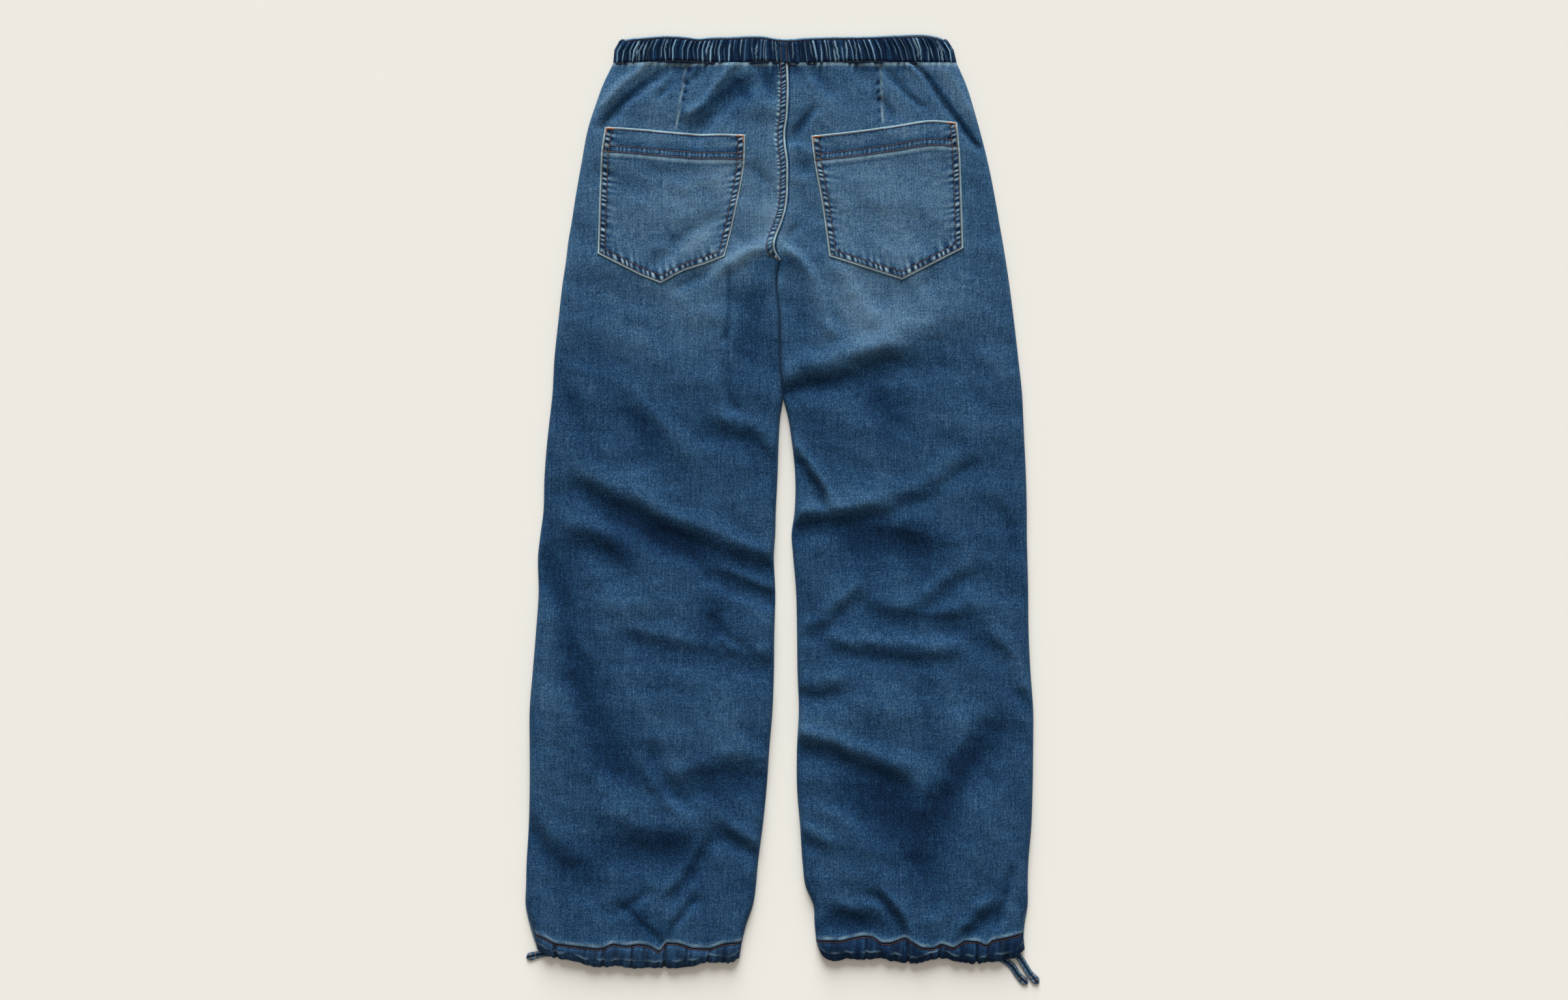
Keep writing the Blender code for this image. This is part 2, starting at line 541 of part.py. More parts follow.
def pocket(leg, panel, cloth):
    """A patch pocket: the panel's own surface cut to the pocket's shape and moved up off it."""
    sheet = bmesh.new()
    points = [sheet.verts.new(p) for p in panel.reshape(-1, 3).tolist()]
    for triangle in grid_triangles(panel):
        sheet.faces.new([points[v] for v in triangle])

    def cut(a, b, remove):
        geometry = list(sheet.verts) + list(sheet.edges) + list(sheet.faces)
        away = (a[1] - b[1], b[0] - a[0], 0.0)
        bmesh.ops.bisect_plane(sheet, geom=geometry, dist=CUT_SNAP, plane_co=(a[0], a[1], 0.0),
                               plane_no=away, clear_outer=remove)

    corners = POCKETS[leg]["corners"]
    for a, b in zip(corners, corners[1:] + corners[:1]):
        cut(a, b, True)
    hem_start, hem_end = POCKETS[leg]["hem"]
    cut(hem_start, hem_end, False)
    lower = [(x, y - POCKET_HEM_STEP) for x, y in (hem_start, hem_end)]
    cut(lower[0], lower[1], False)

    sheet.verts.index_update()
    bottom, top = [], []
    for vertex in sheet.verts:
        x, y, z = vertex.co
        along = (x - hem_start[0]) / (hem_end[0] - hem_start[0])
        hem_y = hem_start[1] + along * (hem_end[1] - hem_start[1])
        step = POCKET_HEM_STEP if y > hem_y - CUT_SNAP else 0.0
        bottom.append((x, y, z + SEAM_GAP))
        top.append((x, y, z + SEAM_GAP + POCKET_CLOTH + step))
    bmesh.ops.triangulate(sheet, faces=sheet.faces)
    triangles = [tuple(v.index for v in face.verts) for face in sheet.faces]
    border = []
    for edge in sheet.edges:
        if len(edge.link_faces) == 1:
            loop = edge.link_faces[0].loops
            for corner in loop:
                if corner.edge == edge:
                    border.append((corner.vert.index, corner.link_loop_next.vert.index))
    sheet.free()
    close_wall("pocket_" + leg, top, bottom, triangles, border, cloth)


def tie(name, path, cloth):
    """A flat drawstring end that lies on the surface."""
    route = smooth_path(path, 2)
    directions = np.gradient(route, axis=0)
    directions /= np.linalg.norm(directions, axis=1, keepdims=True)
    half = np.stack([-directions[:, 1], directions[:, 0]], axis=1) * TIE_WIDTH / 2
    vertices = []
    for (x, y), (dx, dy) in zip(route, half):
        for side in (1.0, -1.0):
            for z in (TIE_LIFT, TIE_LIFT + TIE_THICKNESS):
                vertices.append((x + side * dx, y + side * dy, z))
    faces = [(0, 1, 3, 2)]
    for k in range(0, len(vertices) - 4, 4):
        for a, b in ((0, 1), (1, 3), (3, 2), (2, 0)):
            faces.append((k + a, k + 4 + a, k + 4 + b, k + b))
    end = len(vertices) - 4
    faces.append((end, end + 2, end + 3, end + 1))
    add_object(name, vertices, faces, cloth)


def build():
    for old in list(bpy.data.objects):
        bpy.data.objects.remove(old)
    seat_cloth = material("denim_seat", SEAT_BLUE)
    leg_cloth = material("denim_legs", LEG_BLUE)
    gather_cloth = material("denim_gathers", GATHER_BLUE)
    for leg in ("left", "right"):
        panel = back_panel(leg, leg_cloth)
        front_panel(leg, leg_cloth)
        hem_back(leg, panel, gather_cloth)
        hem_front(leg, gather_cloth)
        pocket(leg, panel, seat_cloth)
    waistband_back(gather_cloth)
    waistband_front(gather_cloth)
    for name, path in TIES.items():
        tie(name, path, gather_cloth)


build()
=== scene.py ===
import math
from collections import namedtuple
from functools import partial

import bpy
import numpy as np
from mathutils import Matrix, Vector


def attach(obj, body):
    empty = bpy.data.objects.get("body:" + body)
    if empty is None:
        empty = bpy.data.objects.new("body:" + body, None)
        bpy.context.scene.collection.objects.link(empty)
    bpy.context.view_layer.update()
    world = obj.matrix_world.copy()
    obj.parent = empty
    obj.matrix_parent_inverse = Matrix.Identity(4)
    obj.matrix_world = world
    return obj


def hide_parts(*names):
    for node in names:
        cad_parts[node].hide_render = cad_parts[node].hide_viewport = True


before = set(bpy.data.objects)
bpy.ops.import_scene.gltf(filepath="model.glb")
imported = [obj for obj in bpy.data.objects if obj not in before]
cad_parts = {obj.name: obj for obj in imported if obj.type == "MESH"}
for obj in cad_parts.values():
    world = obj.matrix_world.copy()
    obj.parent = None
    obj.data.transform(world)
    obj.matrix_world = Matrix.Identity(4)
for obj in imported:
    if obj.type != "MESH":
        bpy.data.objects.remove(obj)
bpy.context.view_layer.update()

mm = 0.001      # every size below is in millimetres
bpy.ops.object.select_all(action="DESELECT")

# Camera, floor and light.
view = {
    "centre": (5.4, 2.9),       # the point of the garment under the lens
    "frameWidth": 1733.8,       # what the picture's width spans on the garment
    "lens": 85.0,
    "sensor": 36.0,
    "garmentHeight": 9.0,
}
studio = {
    "floorSize": 14.0,          # metres
    "floorColour": (0.86, 0.835, 0.775),
    "keyStrength": 5.4,
    "keyHeight": 21.0,          # degrees above the floor
    "keyTurn": 2.0,             # degrees from the waist side towards the left
    "keySoftness": 38.0,        # degrees across
    "keyColour": (0.965, 1.0, 1.03),
    "fillStrength": 0.385,
    "fillColour": (1.03, 0.955, 0.87),
}


def principled(name, colour, roughness):
    look = bpy.data.materials.new(name)
    look.use_nodes = True
    shader = look.node_tree.nodes["Principled BSDF"]
    shader.inputs["Base Color"].default_value = (*colour, 1.0)
    shader.inputs["Roughness"].default_value = roughness
    return look


def buildStudio():
    camera = bpy.data.cameras.new("camera")
    camera.lens = view["lens"]
    camera.sensor_width = view["sensor"]
    camera.sensor_fit = "HORIZONTAL"
    cameraStand = bpy.data.objects.new("camera", camera)
    bpy.context.scene.collection.objects.link(cameraStand)
    above = view["frameWidth"] * view["lens"] / view["sensor"] + view["garmentHeight"]
    cameraStand.location = (view["centre"][0] * mm, view["centre"][1] * mm, above * mm)
    bpy.context.scene.camera = cameraStand

    bpy.ops.mesh.primitive_plane_add(size=studio["floorSize"], location=(0, 0, -0.2 * mm))
    floor = bpy.context.active_object
    floor.name = "floor"
    floor.data.materials.append(principled("floorPaper", studio["floorColour"], 0.9))

    key = bpy.data.lights.new("key", "SUN")
    key.energy = studio["keyStrength"]
    key.angle = math.radians(studio["keySoftness"])
    key.color = studio["keyColour"]
    keyStand = bpy.data.objects.new("key", key)
    bpy.context.scene.collection.objects.link(keyStand)
    turn, height = math.radians(studio["keyTurn"]), math.radians(studio["keyHeight"])
    towards = Vector((-math.sin(turn) * math.cos(height), math.cos(turn) * math.cos(height),
                      math.sin(height)))
    keyStand.rotation_euler = towards.to_track_quat("Z", "Y").to_euler()

    world = bpy.data.worlds.new("fill")
    world.use_nodes = True
    world.node_tree.nodes["Background"].inputs["Color"].default_value = (*studio["fillColour"], 1.0)
    world.node_tree.nodes["Background"].inputs["Strength"].default_value = studio["fillStrength"]
    bpy.context.scene.world = world
    bpy.context.scene.view_settings.view_transform = "Standard"
    print("studio: camera, floor and light")


buildStudio()


# Curves and meshes.
def smoothstep(t):
    t = np.clip(t, 0.0, 1.0)
    return t * t * (3.0 - 2.0 * t)


def bell(distance, width):
    return np.exp(-(distance / width) ** 2)


def within(off, low, high, soft=1.5):
    # 1 between two lines, fading out at both
    return smoothstep((off - low) / soft) * smoothstep((high - off) / soft)


def softLine(off, at, width, strength):
    # a line with soft sides: where it lies, how wide and how strong it is
    return strength * bell(off - at, width)


def through(knots, values, at):
    # smooth curve through (knots, values), knots rising, read at each of at
    knots = np.asarray(knots, float)
    values = np.asarray(values, float)
    slopes = np.gradient(values, knots)
    at = np.clip(at, knots[0], knots[-1])
    i = np.clip(np.searchsorted(knots, at, side="right") - 1, 0, len(knots) - 2)
    step = knots[i + 1] - knots[i]
    t = (at - knots[i]) / step
    return ((2 * t**3 - 3 * t**2 + 1) * values[i] + (t**3 - 2 * t**2 + t) * step * slopes[i]
            + (3 * t**2 - 2 * t**3) * values[i + 1] + (t**3 - t**2) * step * slopes[i + 1])


def runAlong(points):
    steps = np.linalg.norm(np.diff(points, axis=0), axis=1)
    return np.concatenate([[0.0], np.cumsum(steps)])


def smoothPath(points, parts=6):
    points = np.asarray(points, float)
    run = runAlong(points)
    at = np.linspace(0.0, run[-1], parts * (len(points) - 1) + 1)
    return np.stack([through(run, points[:, k], at) for k in range(points.shape[1])], axis=1)


def evenly(points, spacing):
    # the same line with a point every spacing
    points = np.asarray(points, float)
    run = runAlong(points)
    at = np.linspace(0.0, run[-1], max(2, int(round(run[-1] / spacing)) + 1))
    return np.stack([np.interp(at, run, points[:, k]) for k in range(points.shape[1])], axis=1)


def alongAndOff(path, x, y, reach):
    # how far along the path each point is, 0 to 1, and its distance, the right side positive
    route = smoothPath(path)
    along = np.zeros(x.shape)
    off = np.full(x.shape, 1e3)
    near = ((x > route[:, 0].min() - reach) & (x < route[:, 0].max() + reach)
            & (y > route[:, 1].min() - reach) & (y < route[:, 1].max() + reach))
    nearX, nearY = x[near], y[near]
    best = np.full(nearX.shape, np.inf)
    share, side = np.zeros(nearX.shape), np.zeros(nearX.shape)
    run = runAlong(route)
    for k in range(len(route) - 1):
        stepX, stepY = route[k + 1] - route[k]
        length = run[k + 1] - run[k]
        px, py = nearX - route[k, 0], nearY - route[k, 1]
        t = np.clip((px * stepX + py * stepY) / length**2, 0.0, 1.0)
        distance = np.hypot(px - t * stepX, py - t * stepY)
        nearer = distance < best
        best = np.where(nearer, distance, best)
        share = np.where(nearer, (run[k] + t * length) / run[-1], share)
        side = np.where(nearer, np.where(px * stepY - py * stepX >= 0.0, 1.0, -1.0), side)
    along[near] = share
    off[near] = side * best
    return along, off


def uneven(along, pitch, seed):
    # an irregular ripple, -1 to 1, about one wave each pitch
    turn = 2.0 * np.pi * along / pitch
    slow = 0.9 * np.sin(turn / 3.7 + 1.7 * seed) + 0.7 * np.sin(turn / 7.3 + 2.9 * seed)
    return np.sin(turn + 1.4 * slow + seed) * (0.72 + 0.28 * np.sin(turn / 5.1 + 4.1 * seed))


def named(kind, table):
    # the rows of a table with their columns named
    return {leg: [kind(*row) for row in rows] for leg, rows in table.items()}


def leftOf(route):
    # the direction to the left of a line, at each of its points
    steps = np.gradient(route, axis=0)
    steps /= np.linalg.norm(steps, axis=1, keepdims=True)
    return np.stack([-steps[:, 1], steps[:, 0]], axis=1)


def readPoints(piece):
    points = np.empty(len(piece.data.vertices) * 3)
    piece.data.vertices.foreach_get("co", points)
    return points.reshape(-1, 3)


def setTone(piece, name, values):
    tone = piece.data.attributes.new(name, "FLOAT", "POINT")
    tone.data.foreach_set("value", np.asarray(values, np.float32))


def finishPiece(piece, cloth, nodes):
    piece.data.materials.clear()
    piece.data.materials.append(cloth)
    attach(piece, "root")
    if nodes:
        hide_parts(*nodes)


def clothSheet(name, columns, rows, place, thickness):
    # A grid whose points are moved by place(u, v), u from left to right and v from the hem
    # towards the waist, both 0 to 1. It gives x, y, z, the tone with painted light and shade, and wear.
    bpy.ops.mesh.primitive_grid_add(x_subdivisions=columns, y_subdivisions=rows, size=2.0)
    piece = bpy.context.active_object
    piece.name = piece.data.name = name
    flat = readPoints(piece)
    x, y, z, toneAndShade, wear = place((flat[:, 0] + 1.0) / 2.0, (flat[:, 1] + 1.0) / 2.0)
    moved = np.stack([x, y, z], axis=1) * mm
    piece.data.vertices.foreach_set("co", moved.ravel())
    setTone(piece, "toneAndShade", toneAndShade)
    setTone(piece, "wear", wear)
    piece.data.update()
    wall = piece.modifiers.new("wall", "SOLIDIFY")
    wall.thickness = thickness * mm
    wall.offset = -1.0
    bpy.ops.object.modifier_apply(modifier=wall.name)
    bpy.ops.object.shade_smooth_by_angle(angle=math.radians(60.0))
    piece.select_set(False)
    print("%s: %d points" % (name, len(piece.data.vertices)))
    return piece


def meshPiece(name, points, faces):
    mesh = bpy.data.meshes.new(name)
    mesh.from_pydata((np.asarray(points) * mm).tolist(), [], faces)
    mesh.shade_smooth()
    piece = bpy.data.objects.new(name, mesh)
    bpy.context.scene.collection.objects.link(piece)
    return piece


# The cut of the garment, as it lies with its back side up.
cut = {
    "denim": 1.4, "casing": 2.0, "pocketCloth": 1.5,        # walls
    "jointHeight": 3.0,         # where a back piece's rolled edge comes down to a front piece
    "lowestTop": 4.3, "topBlend": 0.8,
    "waistSeam": 487.0, "waistTop": 515.5,
    "crotch": 269.0,
    "hemSeam": -487.0, "hemBlend": 60.0,
    "outerRoll": 9.5, "innerRoll": 8.0,
    "seamGap": 0.3,
}
section = namedtuple("section", "y leftOuter leftInner rightInner rightOuter loft")
sections = [section(*row) for row in [
    (487, -183, 9, 9, 196, 7), (462, -195, 10.5, 10.5, 207, 8), (440, -203, 10, 10, 214, 8.5),
    (419, -210, 8, 8, 220, 9), (376, -218.5, 9.5, 9.5, 231, 9), (333, -226, 9, 9, 239.5, 9),
    (307, -230, 2, 2, 244, 9), (290, -233, -4, -4, 247, 9.5), (269, -235.5, 0, 0, 250.5, 10),
    (246, -239, -3, -3, 254, 10), (203, -244, 0.5, 0.5, 259.5, 10), (160, -248.5, 1, 1, 264.5, 10),
    (117, -251, 4.5, 4.5, 269, 10), (95, -253.5, 1, 10, 270, 10), (73, -256, -0.5, 13.5, 271, 10),
    (30, -259.5, -2, 18, 273, 10), (-13, -261, -4, 17, 274, 10), (-35, -264, -4.5, 14, 274, 10),
    (-56, -266.5, -6, 15.5, 274.5, 10), (-99, -266, -4.5, 19, 275.5, 10),
    (-143, -269, -5.5, 20, 276, 10.5), (-186, -272.5, -6, 20.5, 278, 10.5),
    (-229, -276, -7.5, 22, 281, 11), (-272, -276, -11, 20, 281, 11), (-315, -276, -14, 20, 280.5, 11),
    (-359, -277, -18.5, 23.5, 279, 11), (-402, -279.5, -24, 26.5, 275.5, 11),
    (-425, -280, -26, 29.5, 275, 10.5), (-445, -280.5, -29, 38, 275, 10),
    (-467, -276, -36.5, 39.5, 271.5, 9.5), (-487, -270, -41.5, 41.5, 270, 9),
]]
hemLine = {
    "left": [(-271, -476.5), (-257, -482), (-249, -487), (-228, -490), (-202, -493), (-195, -492.5),
             (-184, -487.3), (-170, -490.3), (-155, -488), (-144, -489.5), (-131.5, -497),
             (-126, -487), (-112, -487), (-96, -492.3), (-77, -493.2), (-62, -487.7), (-41, -485.5)],
    "right": [(41, -484), (68, -484.3), (92, -479.2), (104, -480), (113, -486.8), (123, -486.5),
              (140, -481.2), (158, -492), (171, -492.6), (179, -487.5), (193, -492.8),
              (205, -484.7), (220, -485.3), (230.5, -490.2), (234, -484.3), (255, -480),
              (270, -476)],
}
hemEdge = {
    "left": [(-268, -494), (-262, -498), (-254, -501.5), (-245, -504), (-228, -507.5), (-212, -512),
             (-195, -514.5), (-180, -512.5), (-163, -515.5), (-145, -514.5), (-100, -514),
             (-86, -510), (-66, -509), (-50, -507), (-44, -503)],
    "right": [(43, -491), (47, -500), (54, -506), (76, -504.8), (96, -506), (113, -504.3),
              (125, -507), (154, -509.5), (168, -506), (185, -505.5), (196, -508), (226, -509),
              (252, -506), (265, -501), (272, -494)],
}

# A fold stands up on the left of its path and sinks on the right; lit and shaded are how far off
# its crest and its bottom lie. A crease is a ridge along its path, or a groove if rise is negative.
fold = namedtuple("fold", "lit shaded rise sink path")
folds = named(fold, {
    "left": [
        (11, 15, 3.9, 6.4, [(-262, 44), (-235, 33), (-200, 17), (-165, 0), (-140, -14), (-115, -27),
            (-90, -34), (-70, -46), (-45, -57), (-15, -63), (45, -72)]),
        (10, 20, 2.5, 5, [(-280, -16), (-235, -31), (-200, -37), (-172, -50), (-158, -75), (-146, -112)]),
        (6, 8, 3, 5.5, [(-90, -62), (-50, -82), (-14, -96), (40, -108)]),
        (8, 14, 1.5, 2.4, [(-205, -136), (-130, -152), (-80, -164), (-20, -170), (35, -166)]),
        (14, 16, 2, 3, [(-125, -335), (-165, -316), (-198, -284), (-214, -235), (-228, -170),
            (-243, -105), (-270, -45)]),
        (6, 7, 2.5, 3.5, [(-92, -345), (-116, -329), (-133, -308), (-145, -285), (-154, -260)]),
        (9, 18, 2, 3.2, [(-150, -325), (-98, -300), (-62, -288), (-28, -288), (30, -304)]),
        (10, 24, 2, 5, [(-235, -338), (-190, -355), (-150, -366), (-112, -366), (-75, -358),
            (-40, -350)]),
        (9, 16, 2, 5, [(-310, -305), (-266, -350), (-245, -382), (-215, -402), (-175, -410)]),
        (6, 9, 3, 4.5, [(-75, -342), (-46, -366), (-24, -382), (20, -398)]),
        (5, 7, 1.8, 2.4, [(-140, -448), (-118, -428), (-100, -405), (-84, -380), (-74, -352)]),
        (9, 18, 2, 3.5, [(-200, 128), (-165, 112), (-140, 92), (-124, 65), (-112, 25)]),
        (9, 11, 2.4, 3.4, [(-104, 102), (-72, 87), (-42, 80), (-20, 70), (-6, 50), (10, 10)]),
        (6, 7, 2, 3.4, [(-40, 76), (-54, 100), (-62, 124), (-65, 160)]),
    ],
    "right": [
        (12, 11, 5, 5.5, [(-60, 120), (5, 131), (35, 140), (65, 146), (95, 154), (125, 163), (160, 177)]),
        (20, 24, 2.5, 2.4, [(30, 144), (100, 158), (160, 176), (205, 196), (262, 230)]),
        (6, 7, 3.5, 6, [(-14, 78), (18, 54), (36, 34), (50, 10), (62, -20)]),
        (10, 10, 4.5, 5, [(-60, -38), (22, -23), (60, -15), (100, -9), (140, -2)]),
        (10, 8, 2, 2, [(95, -6), (150, 8), (180, 26), (215, 48), (245, 62)]),
        (12, 22, 1, 7, [(30, -14), (75, -20), (110, -25), (145, -31), (178, -42), (215, -66)]),
        (7, 9, 1.8, 2.6, [(128, -128), (158, -108), (180, -93), (200, -81), (232, -67)]),
        (7, 8, 1.8, 2.4, [(12, -152), (48, -131), (66, -117), (82, -103), (106, -80)]),
        (8, 13, 2, 3, [(60, -98), (105, -114), (145, -126), (190, -126), (240, -112)]),
        (9, 10, 2.2, 3.2, [(30, -148), (75, -157), (120, -164), (170, -168), (225, -166)]),
        (7, 9, 2.5, 4, [(-40, -194), (22, -202), (50, -206), (92, -200)]),
        (10, 11, 4.8, 5.4, [(-60, -254), (20, -262), (60, -273), (98, -287), (135, -300), (168, -309)]),
        (15, 22, 2.5, 3.5, [(128, -458), (152, -385), (170, -335), (195, -288), (228, -248),
            (290, -195)]),
        (7, 9, 2.5, 3.4, [(-20, -345), (24, -366), (52, -379), (76, -398)]),
        (4.5, 5.5, 3, 4.8, [(98, -420), (109, -431), (125, -448), (138, -465), (145, -483), (152, -512)]),
        (8, 14, 2.5, 6, [(40, -436), (70, -450), (98, -456), (128, -474)]),
        (6, 8, 2.5, 4, [(190, -500), (208, -470), (228, -452), (256, -438)]),
        (7, 8, 2, 3, [(222, -132), (244, -162), (262, -195), (292, -235)]),
    ],
})
crease = namedtuple("crease", "width rise path")
creases = named(crease, {
    "left": [
        (4.5, -3.6, [(-86, -430), (-101, -449), (-119, -477), (-132, -508)]),
        (4.5, -3, [(-184, -436), (-162, -455), (-148, -470), (-134, -484), (-120, -505)]),
        (5, -2.4, [(-138, -426), (-153, -437), (-172, -449), (-192, -459)]),
        (13, -4, [(-52, -95), (-71, -130), (-76, -155), (-66, -185)]),
        (6, -2, [(-90, -122), (-58, -146), (-20, -172)]),
        (13, -4.5, [(-272, -50), (-246, -100), (-233, -150), (-223, -200), (-211, -243), (-195, -286),
            (-160, -318)]),
        (15, -3, [(-150, -12), (-108, -40), (-62, -58)]), (20, -3, [(-32, 250), (-34, 200), (-26, 130)]),
        (13, -3, [(-254, 170), (-232, 120), (-206, 50)]),
        (20, -3, [(-60, -270), (-40, -312), (-30, -350)]),
        (18, 3, [(-215, -85), (-170, -112), (-110, -105)]),
        (24, 2.5, [(-120, -225), (-75, -250), (-20, -252)]),
        (16, 2.5, [(-262, -120), (-258, -220), (-262, -330)]),
        (5, -5, [(-92, 500), (-122, 479), (-141, 469), (-157, 455), (-178, 433), (-204, 406)]),
        (8, -6, [(-14, 474), (-38, 460), (-56, 446), (-74, 428), (-90, 408), (-100, 394)]),
        (8, 4, [(14, 306), (-3, 291), (-33, 276), (-64, 260), (-88, 250)]),
        # finer ones, of the shell alone
        (6, 3.5, [(-128, 504), (-150, 485), (-180, 455), (-206, 428)]),
        (4, -2.5, [(-84, 496), (-114, 471), (-138, 447)]),
        (5, 3.5, [(-38, 494), (-58, 476), (-73, 458), (-90, 440), (-108, 422)]),
        (4, -2.5, [(-60, 500), (-84, 479), (-100, 458)]),
        (6, -4, [(-30, 500), (-21, 482), (-9, 455), (0, 436)]),
        (6, -4, [(-56, 472), (-42, 457), (-24, 445)]), (12, 2, [(-44, 436), (-20, 436), (6, 430)]),
        (8, -1.9, [(-56, 332), (-81, 311), (-108, 291), (-135, 266), (-154, 246)]),
        (10, -2, [(-158, 382), (-124, 366), (-90, 356)]),
        (7, -2.5, [(-126, 228), (-88, 250), (-58, 270)]),
        (3.8, -2.8, [(-60, 266), (-53, 230), (-54, 196), (-58, 170)]),
        (8, -3, [(-64, 146), (-59, 118), (-50, 90)]), (6, -2, [(-34, 384), (-22, 362), (-8, 342)]),
    ],
    "right": [
        (19, -3, [(98, 150), (120, 105), (145, 50)]),
        (26, -6.5, [(40, -292), (95, -325), (136, -365), (160, -430)]),
        (11, 2.5, [(20, -330), (64, -350), (98, -384), (118, -412)]),
        (20, 2, [(215, -300), (225, -360), (235, -420)]), (20, 2, [(30, -228), (110, -225), (170, -245)]),
        (9, 2.5, [(205, -440), (180, -455), (165, -480)]),
        (4.5, -3.5, [(262, -396), (250, -438), (239, -475)]),
        (10, -2.5, [(238, 15), (252, -30), (278, -70)]),
        (3.4, -5, [(138, 497), (151, 482), (163, 468), (174, 453), (184, 439), (194, 426), (208, 407),
            (224, 388)]),
        (2.8, -2.4, [(104, 488), (113, 478), (124, 468), (135, 459), (152, 445), (162, 438)]),
        (5, -3.5, [(42, 444), (36, 434), (21, 410), (12, 394)]),
        (8, 4, [(-10, 288), (14, 279), (30, 262), (40, 236), (50, 205), (60, 172)]),
        (10, -3, [(5, 270), (15, 232), (21, 196), (30, 156)]), (9, 2, [(60, 275), (82, 232), (118, 186)]),
        # finer ones, of the shell alone
        (9, 3, [(168, 500), (188, 470), (204, 446), (222, 416)]),
        (4, 2.5, [(22, 500), (28, 480), (40, 454)]), (5, -3, [(40, 484), (50, 464), (62, 448)]),
        (7, -3, [(72, 496), (92, 476), (108, 454)]),
        (4, 2, [(126, 497), (140, 484), (157, 469), (178, 452)]),
        (4, -3, [(108, 456), (119, 438), (130, 416)]), (5, 2, [(10, 402), (28, 391), (44, 380)]),
        (8, -2, [(14, 380), (27, 372), (36, 360)]), (6, -2, [(2, 288), (20, 301), (38, 314)]),
        (9, -2, [(147, 232), (165, 246), (183, 257)]),
    ],
})
darts = {"left": [(-103.3, 485.3), (-114.1, 411.1)], "right": [(112, 486.7), (114.8, 419)]}

# The seat seam: its folded edge, from the waist to the crotch, and the strip beside it.
seatSeam = {
    "foldEdge": [(9.5, 489), (10.3, 470), (10.6, 461), (9.9, 439), (8.8, 424), (6.8, 411), (6.8, 402),
                 (9.9, 375), (9.9, 357), (9.5, 340), (7.1, 323), (2.1, 307), (-2.9, 294.5),
                 (-5, 286), (-4.5, 280), (-1.7, 273.6), (1.6, 268.5)],
    "width": 13.4, "rise": 1.1, "wall": 0.8,
    "rows": (2.4, 8.4), "bed": 0.35,        # stitch rows, from the folded edge
    "ropePitch": 4.8, "rope": 0.4, "ropeWash": 0.45, "ropeWear": 0.55,
    "endWidth": 3.2, "endTaper": 14.0,
    "barPitch": 5.2, "bars": 1.15, "barWash": 0.2,
    "edgeWear": 1.1, "belowBandShade": 0.12,
    "atWaist": (1.4, 7.6),      # where its two rows run on over the waistband
}


def sectionValue(column, y):
    rising = sections[::-1]
    return through([s.y for s in rising], [getattr(s, column) for s in rising], np.asarray(y, float))


def belowCrotch(y):
    return smoothstep((cut["crotch"] + 8.0 - y) / 34.0)


def legEdges(leg, y):
    # left and right edge of a leg at the heights y
    left, right = sectionValue("leftInner", y), sectionValue("rightInner", y)
    middle = (left + right) / 2.0
    if leg == "left":
        return sectionValue("leftOuter", y), np.minimum(left, middle) - cut["seamGap"] / 2.0
    return np.maximum(right, middle) + cut["seamGap"] / 2.0, sectionValue("rightOuter", y)


def hemAt(leg, x):
    # height of the seam over a hem casing, its corners rounded off
    points = np.array(hemLine[leg], float)
    return sum(np.interp(x + shift, *points.T) for shift in (-2.2, -1.1, 0.0, 1.1, 2.2)) / 5.0


def roll(distance, width):
    t = np.clip(distance / width, 0.0, 1.0)
    return np.sqrt(1.0 - (1.0 - t) ** 2)


def swell(t):
    return t * np.exp((1.0 - t * t) / 2.0)


def diesAway(path, along, stretch):
    # from 0 at each end of a path to 1, over a stretch in millimetres
    share = min(0.42, stretch / runAlong(np.array(path, float))[-1])
    return smoothstep(along / share) * smoothstep((1.0 - along) / share)


def foldHeight(leg, x, y):
    height = np.zeros(x.shape)
    x, y = (x + wrinkles["wander"] * wrinkleHeight(y, x + 300.0),
            y + wrinkles["wander"] * wrinkleHeight(x - 300.0, y))
    for row in folds[leg]:
        along, off = alongAndOff(row.path, x, y, 3.2 * max(row.lit, row.shaded))
        fade = diesAway(row.path, along, 2.4 * (row.lit + row.shaded))
        widen = 1.0 + 0.7 * (1.0 - fade)        # a fold runs out wide and shallow
        up = row.rise * swell(np.maximum(-off, 0.0) / (row.lit * widen))
        height += fade * (up - row.sink * swell(np.maximum(off, 0.0) / (row.shaded * widen)))
    for row in creases[leg]:
        along, off = alongAndOff(row.path, x, y, 3.0 * row.width)
        fade = diesAway(row.path, along, 3.2 * row.width)
        height += fade * row.rise * bell(off, row.width * (1.0 + 0.5 * (1.0 - fade)))
    return wrinkles["folds"] * height


# Low, broad wrinkles all over the cloth: wavelength, height and how many waves are mixed. A fold's
# path wanders with them.
wrinkles = {
    "seed": 7, "lie": 1.35, "scatter": 0.6, "wander": 3.0, "folds": 0.94,
    "sizes": [(62.0, 0.62, 8), (30.0, 0.3, 9), (14.0, 0.11, 10)],
}


def wrinkleHeight(x, y):
    chance = np.random.default_rng(wrinkles["seed"])
    total = np.zeros(x.shape)
    for length, height, count in wrinkles["sizes"]:
        for _ in range(count):
            angle = chance.normal(wrinkles["lie"], wrinkles["scatter"])
            wave = length * chance.uniform(0.7, 1.4)
            phase, bend = chance.uniform(0.0, 6.28, 2)
            across = x * math.cos(angle) + y * math.sin(angle)
            along = y * math.cos(angle) - x * math.sin(angle)
            turn = 2.0 * np.pi * across / wave + phase + 1.6 * np.sin(along / (1.1 * wave) + bend)
            total += height * np.sin(turn) / math.sqrt(count)
    return total


